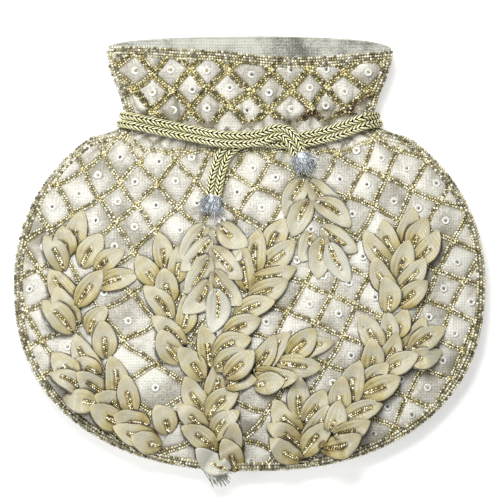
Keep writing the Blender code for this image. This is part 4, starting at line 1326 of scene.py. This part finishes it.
round_the_back = [(x / 1000, y / 1000, z / 1000) for x, y, z in ROUND_THE_BACK]
doubled = smooth_line(on_floor(UNDER_PASS) + round_the_back + on_floor(OVER_PASS), CORD_STEP)
ways, across = carried_frames(doubled)
for number, side in ((1, 1), (2, -1)):
    strand = doubled + across * side * CORD_SPACING / 2
    corners, faces, hollows = braided_cord(strand, 0.55 * CORD_DIAMETER)
    cord = add_piece(f"zari_cord_{number}", corners, faces, zari)
    add_shares(cord, "hollow_shade", hollows)
    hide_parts(f"drawstring_{number}")

# Tassels: the cord ends are bound with silver-grey thread, frayed at the edge, and a stem of
# organza leaves is bound in with each.

COILS = 11
HAIRS = 150
HAIR_THICKNESS = 0.00018
BINDING_WIDTH = 0.0082
BINDING_DEPTH = 0.0050
END_POINTS = 22


def wound_thread(name, start, end, width, depth, node_name):
    """Thread wound round both cords between two points: a flat barrel of coils, with hairs."""
    draw = np.random.default_rng(sum(name.encode()))
    axis = end - start
    reach = np.linalg.norm(axis)
    axis = axis / reach
    aside = np.cross(axis, [0, 0, 1.0])
    aside /= np.linalg.norm(aside)
    third = np.cross(aside, axis)
    rings, sides = 44, 28
    t = np.linspace(0, 1, rings)[:, None]
    turn = (np.arange(sides) * 2 * math.pi / sides)[None, :]
    bulge = 0.80 + 0.20 * np.sin(math.pi * t) ** 0.6
    coil = 1 + 0.035 * np.cos(2 * math.pi * (t * COILS + turn / (2 * math.pi)) + np.sin(3 * turn))
    rough = 1 + 0.05 * np.sin(5 * turn + 9 * t) * np.sin(3 * turn - 14 * t + 1)
    reach_out = bulge * coil * rough
    points = (start + axis * (t * reach)[..., None]
              + aside * (width / 2 * reach_out * np.cos(turn))[..., None]
              + third * (depth / 2 * reach_out * np.sin(turn))[..., None])
    corners = [points.reshape(-1, 3)]
    faces = tube_faces(rings, sides)
    count = rings * sides
    for _ in range(HAIRS):
        at = draw.uniform(0.0, 1.0)
        way = draw.uniform(0.1, math.pi - 0.1)
        root = (start + axis * at * reach + aside * math.cos(way) * width * 0.44
                + third * math.sin(way) * depth * 0.50)
        bend = (axis * draw.uniform(0.5, 1.2) + aside * math.cos(way) * draw.uniform(-0.3, 1.1)
                + third * draw.uniform(-0.15, 0.05))
        bend /= np.linalg.norm(bend)
        long = draw.uniform(0.0030, 0.0065)
        hair, sides_of_hair = loose_thread(root, bend, third * 0.0005, long, HAIR_THICKNESS)
        corners.append(hair)
        faces += [[corner + count for corner in side] for side in sides_of_hair]
        count += THREAD_CORNERS
    made = add_piece(name, np.concatenate(corners), faces, silver_wrap)
    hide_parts(node_name)
    return made


silver_wrap, tree, shader, place = new_finish(
    "silver_grey_thread", Roughness=0.35, Metallic=0.4, Sheen_Weight=0.3)
share = ranged(tree, noise(tree, place, 700.0, 3.0), From_Min=0.35, From_Max=0.65)
island = node(tree, "NewGeometry").outputs["Random Per Island"]
colour = blend(tree, maths(tree, "MULTIPLY", share, island), "#7C8890", "#FFFFFF")
tree.links.new(colour, shader.inputs["Base Color"])

TASSEL_LINES = {
    "left": [
        (216, 291, 213.7, 317), (208, 283, 194.7, 298.8), (214.6, 273, 233.6, 295.5),
        (208, 258, 191.4, 284.7), (213, 249, 232.8, 269.8), (209.6, 240, 189.7, 261.5),
        (220.4, 225.8, 232.8, 235), (213.7, 230, 229.5, 247.4), (204.6, 226.7, 191.4, 245)],
    "right": [
        (329.9, 245.5, 342.7, 269.4), (323.5, 239, 320.3, 260.7), (322.7, 228, 345.8, 244),
        (310, 233.6, 306.8, 244), (316.7, 202, 338, 217.4), (308.6, 202, 299.4, 221.5),
        (311.6, 182.8, 332, 200), (304.5, 179.7, 293.3, 201)]}
ends = {"left": (doubled[0], doubled[0] - doubled[END_POINTS]),
        "right": (doubled[-1], doubled[-1] - doubled[-1 - END_POINTS])}
for side, (end, toward) in ends.items():
    toward = toward / np.linalg.norm(toward)
    binding = wound_thread(
        f"binding_thread_{side}", end - toward * 0.0006, end + toward * 0.0066,
        BINDING_WIDTH, BINDING_DEPTH, f"binding_{side}")
    leaves, ribs = add_spray(f"tassel_leaves_{side}", TASSEL_LINES[side], f"tassel_{side}",
                             width=0.0130, bleached=1, paler=0.32)

# Stacked leaves let little light down: the silk and the leaves beside a higher layer are given
# a painted brown shade, the deeper the more.

NEAR_TURNS = 8
NEAR_REACHES = (0.0006, 0.0013)
DEEP_BELOW = 0.0022
SHADE_GAIN = 3.0


def covered_shade_shares(at, clear):
    """How deep corners lie below what is laid close by them, 0 to 1."""
    deep = np.zeros(len(at))
    for turn in np.arange(NEAR_TURNS) * 2 * math.pi / NEAR_TURNS:
        for reach in NEAR_REACHES:
            near = cell_of(at[:, 0] + reach * math.cos(turn), at[:, 1] + reach * math.sin(turn))
            deep += np.clip((laid[near] - at[:, 2] - clear) / DEEP_BELOW, 0, 1)
    share = deep / (NEAR_TURNS * len(NEAR_REACHES))
    return np.clip(share * SHADE_GAIN - 0.12, 0, 0.95)


for piece in sprays:
    add_shares(piece, "covered_shade", covered_shade_shares(corners_of(piece), 0.0008))
add_shares(silk_front, "covered_shade", covered_shade_shares(corners_of(silk_front), 0.0030))
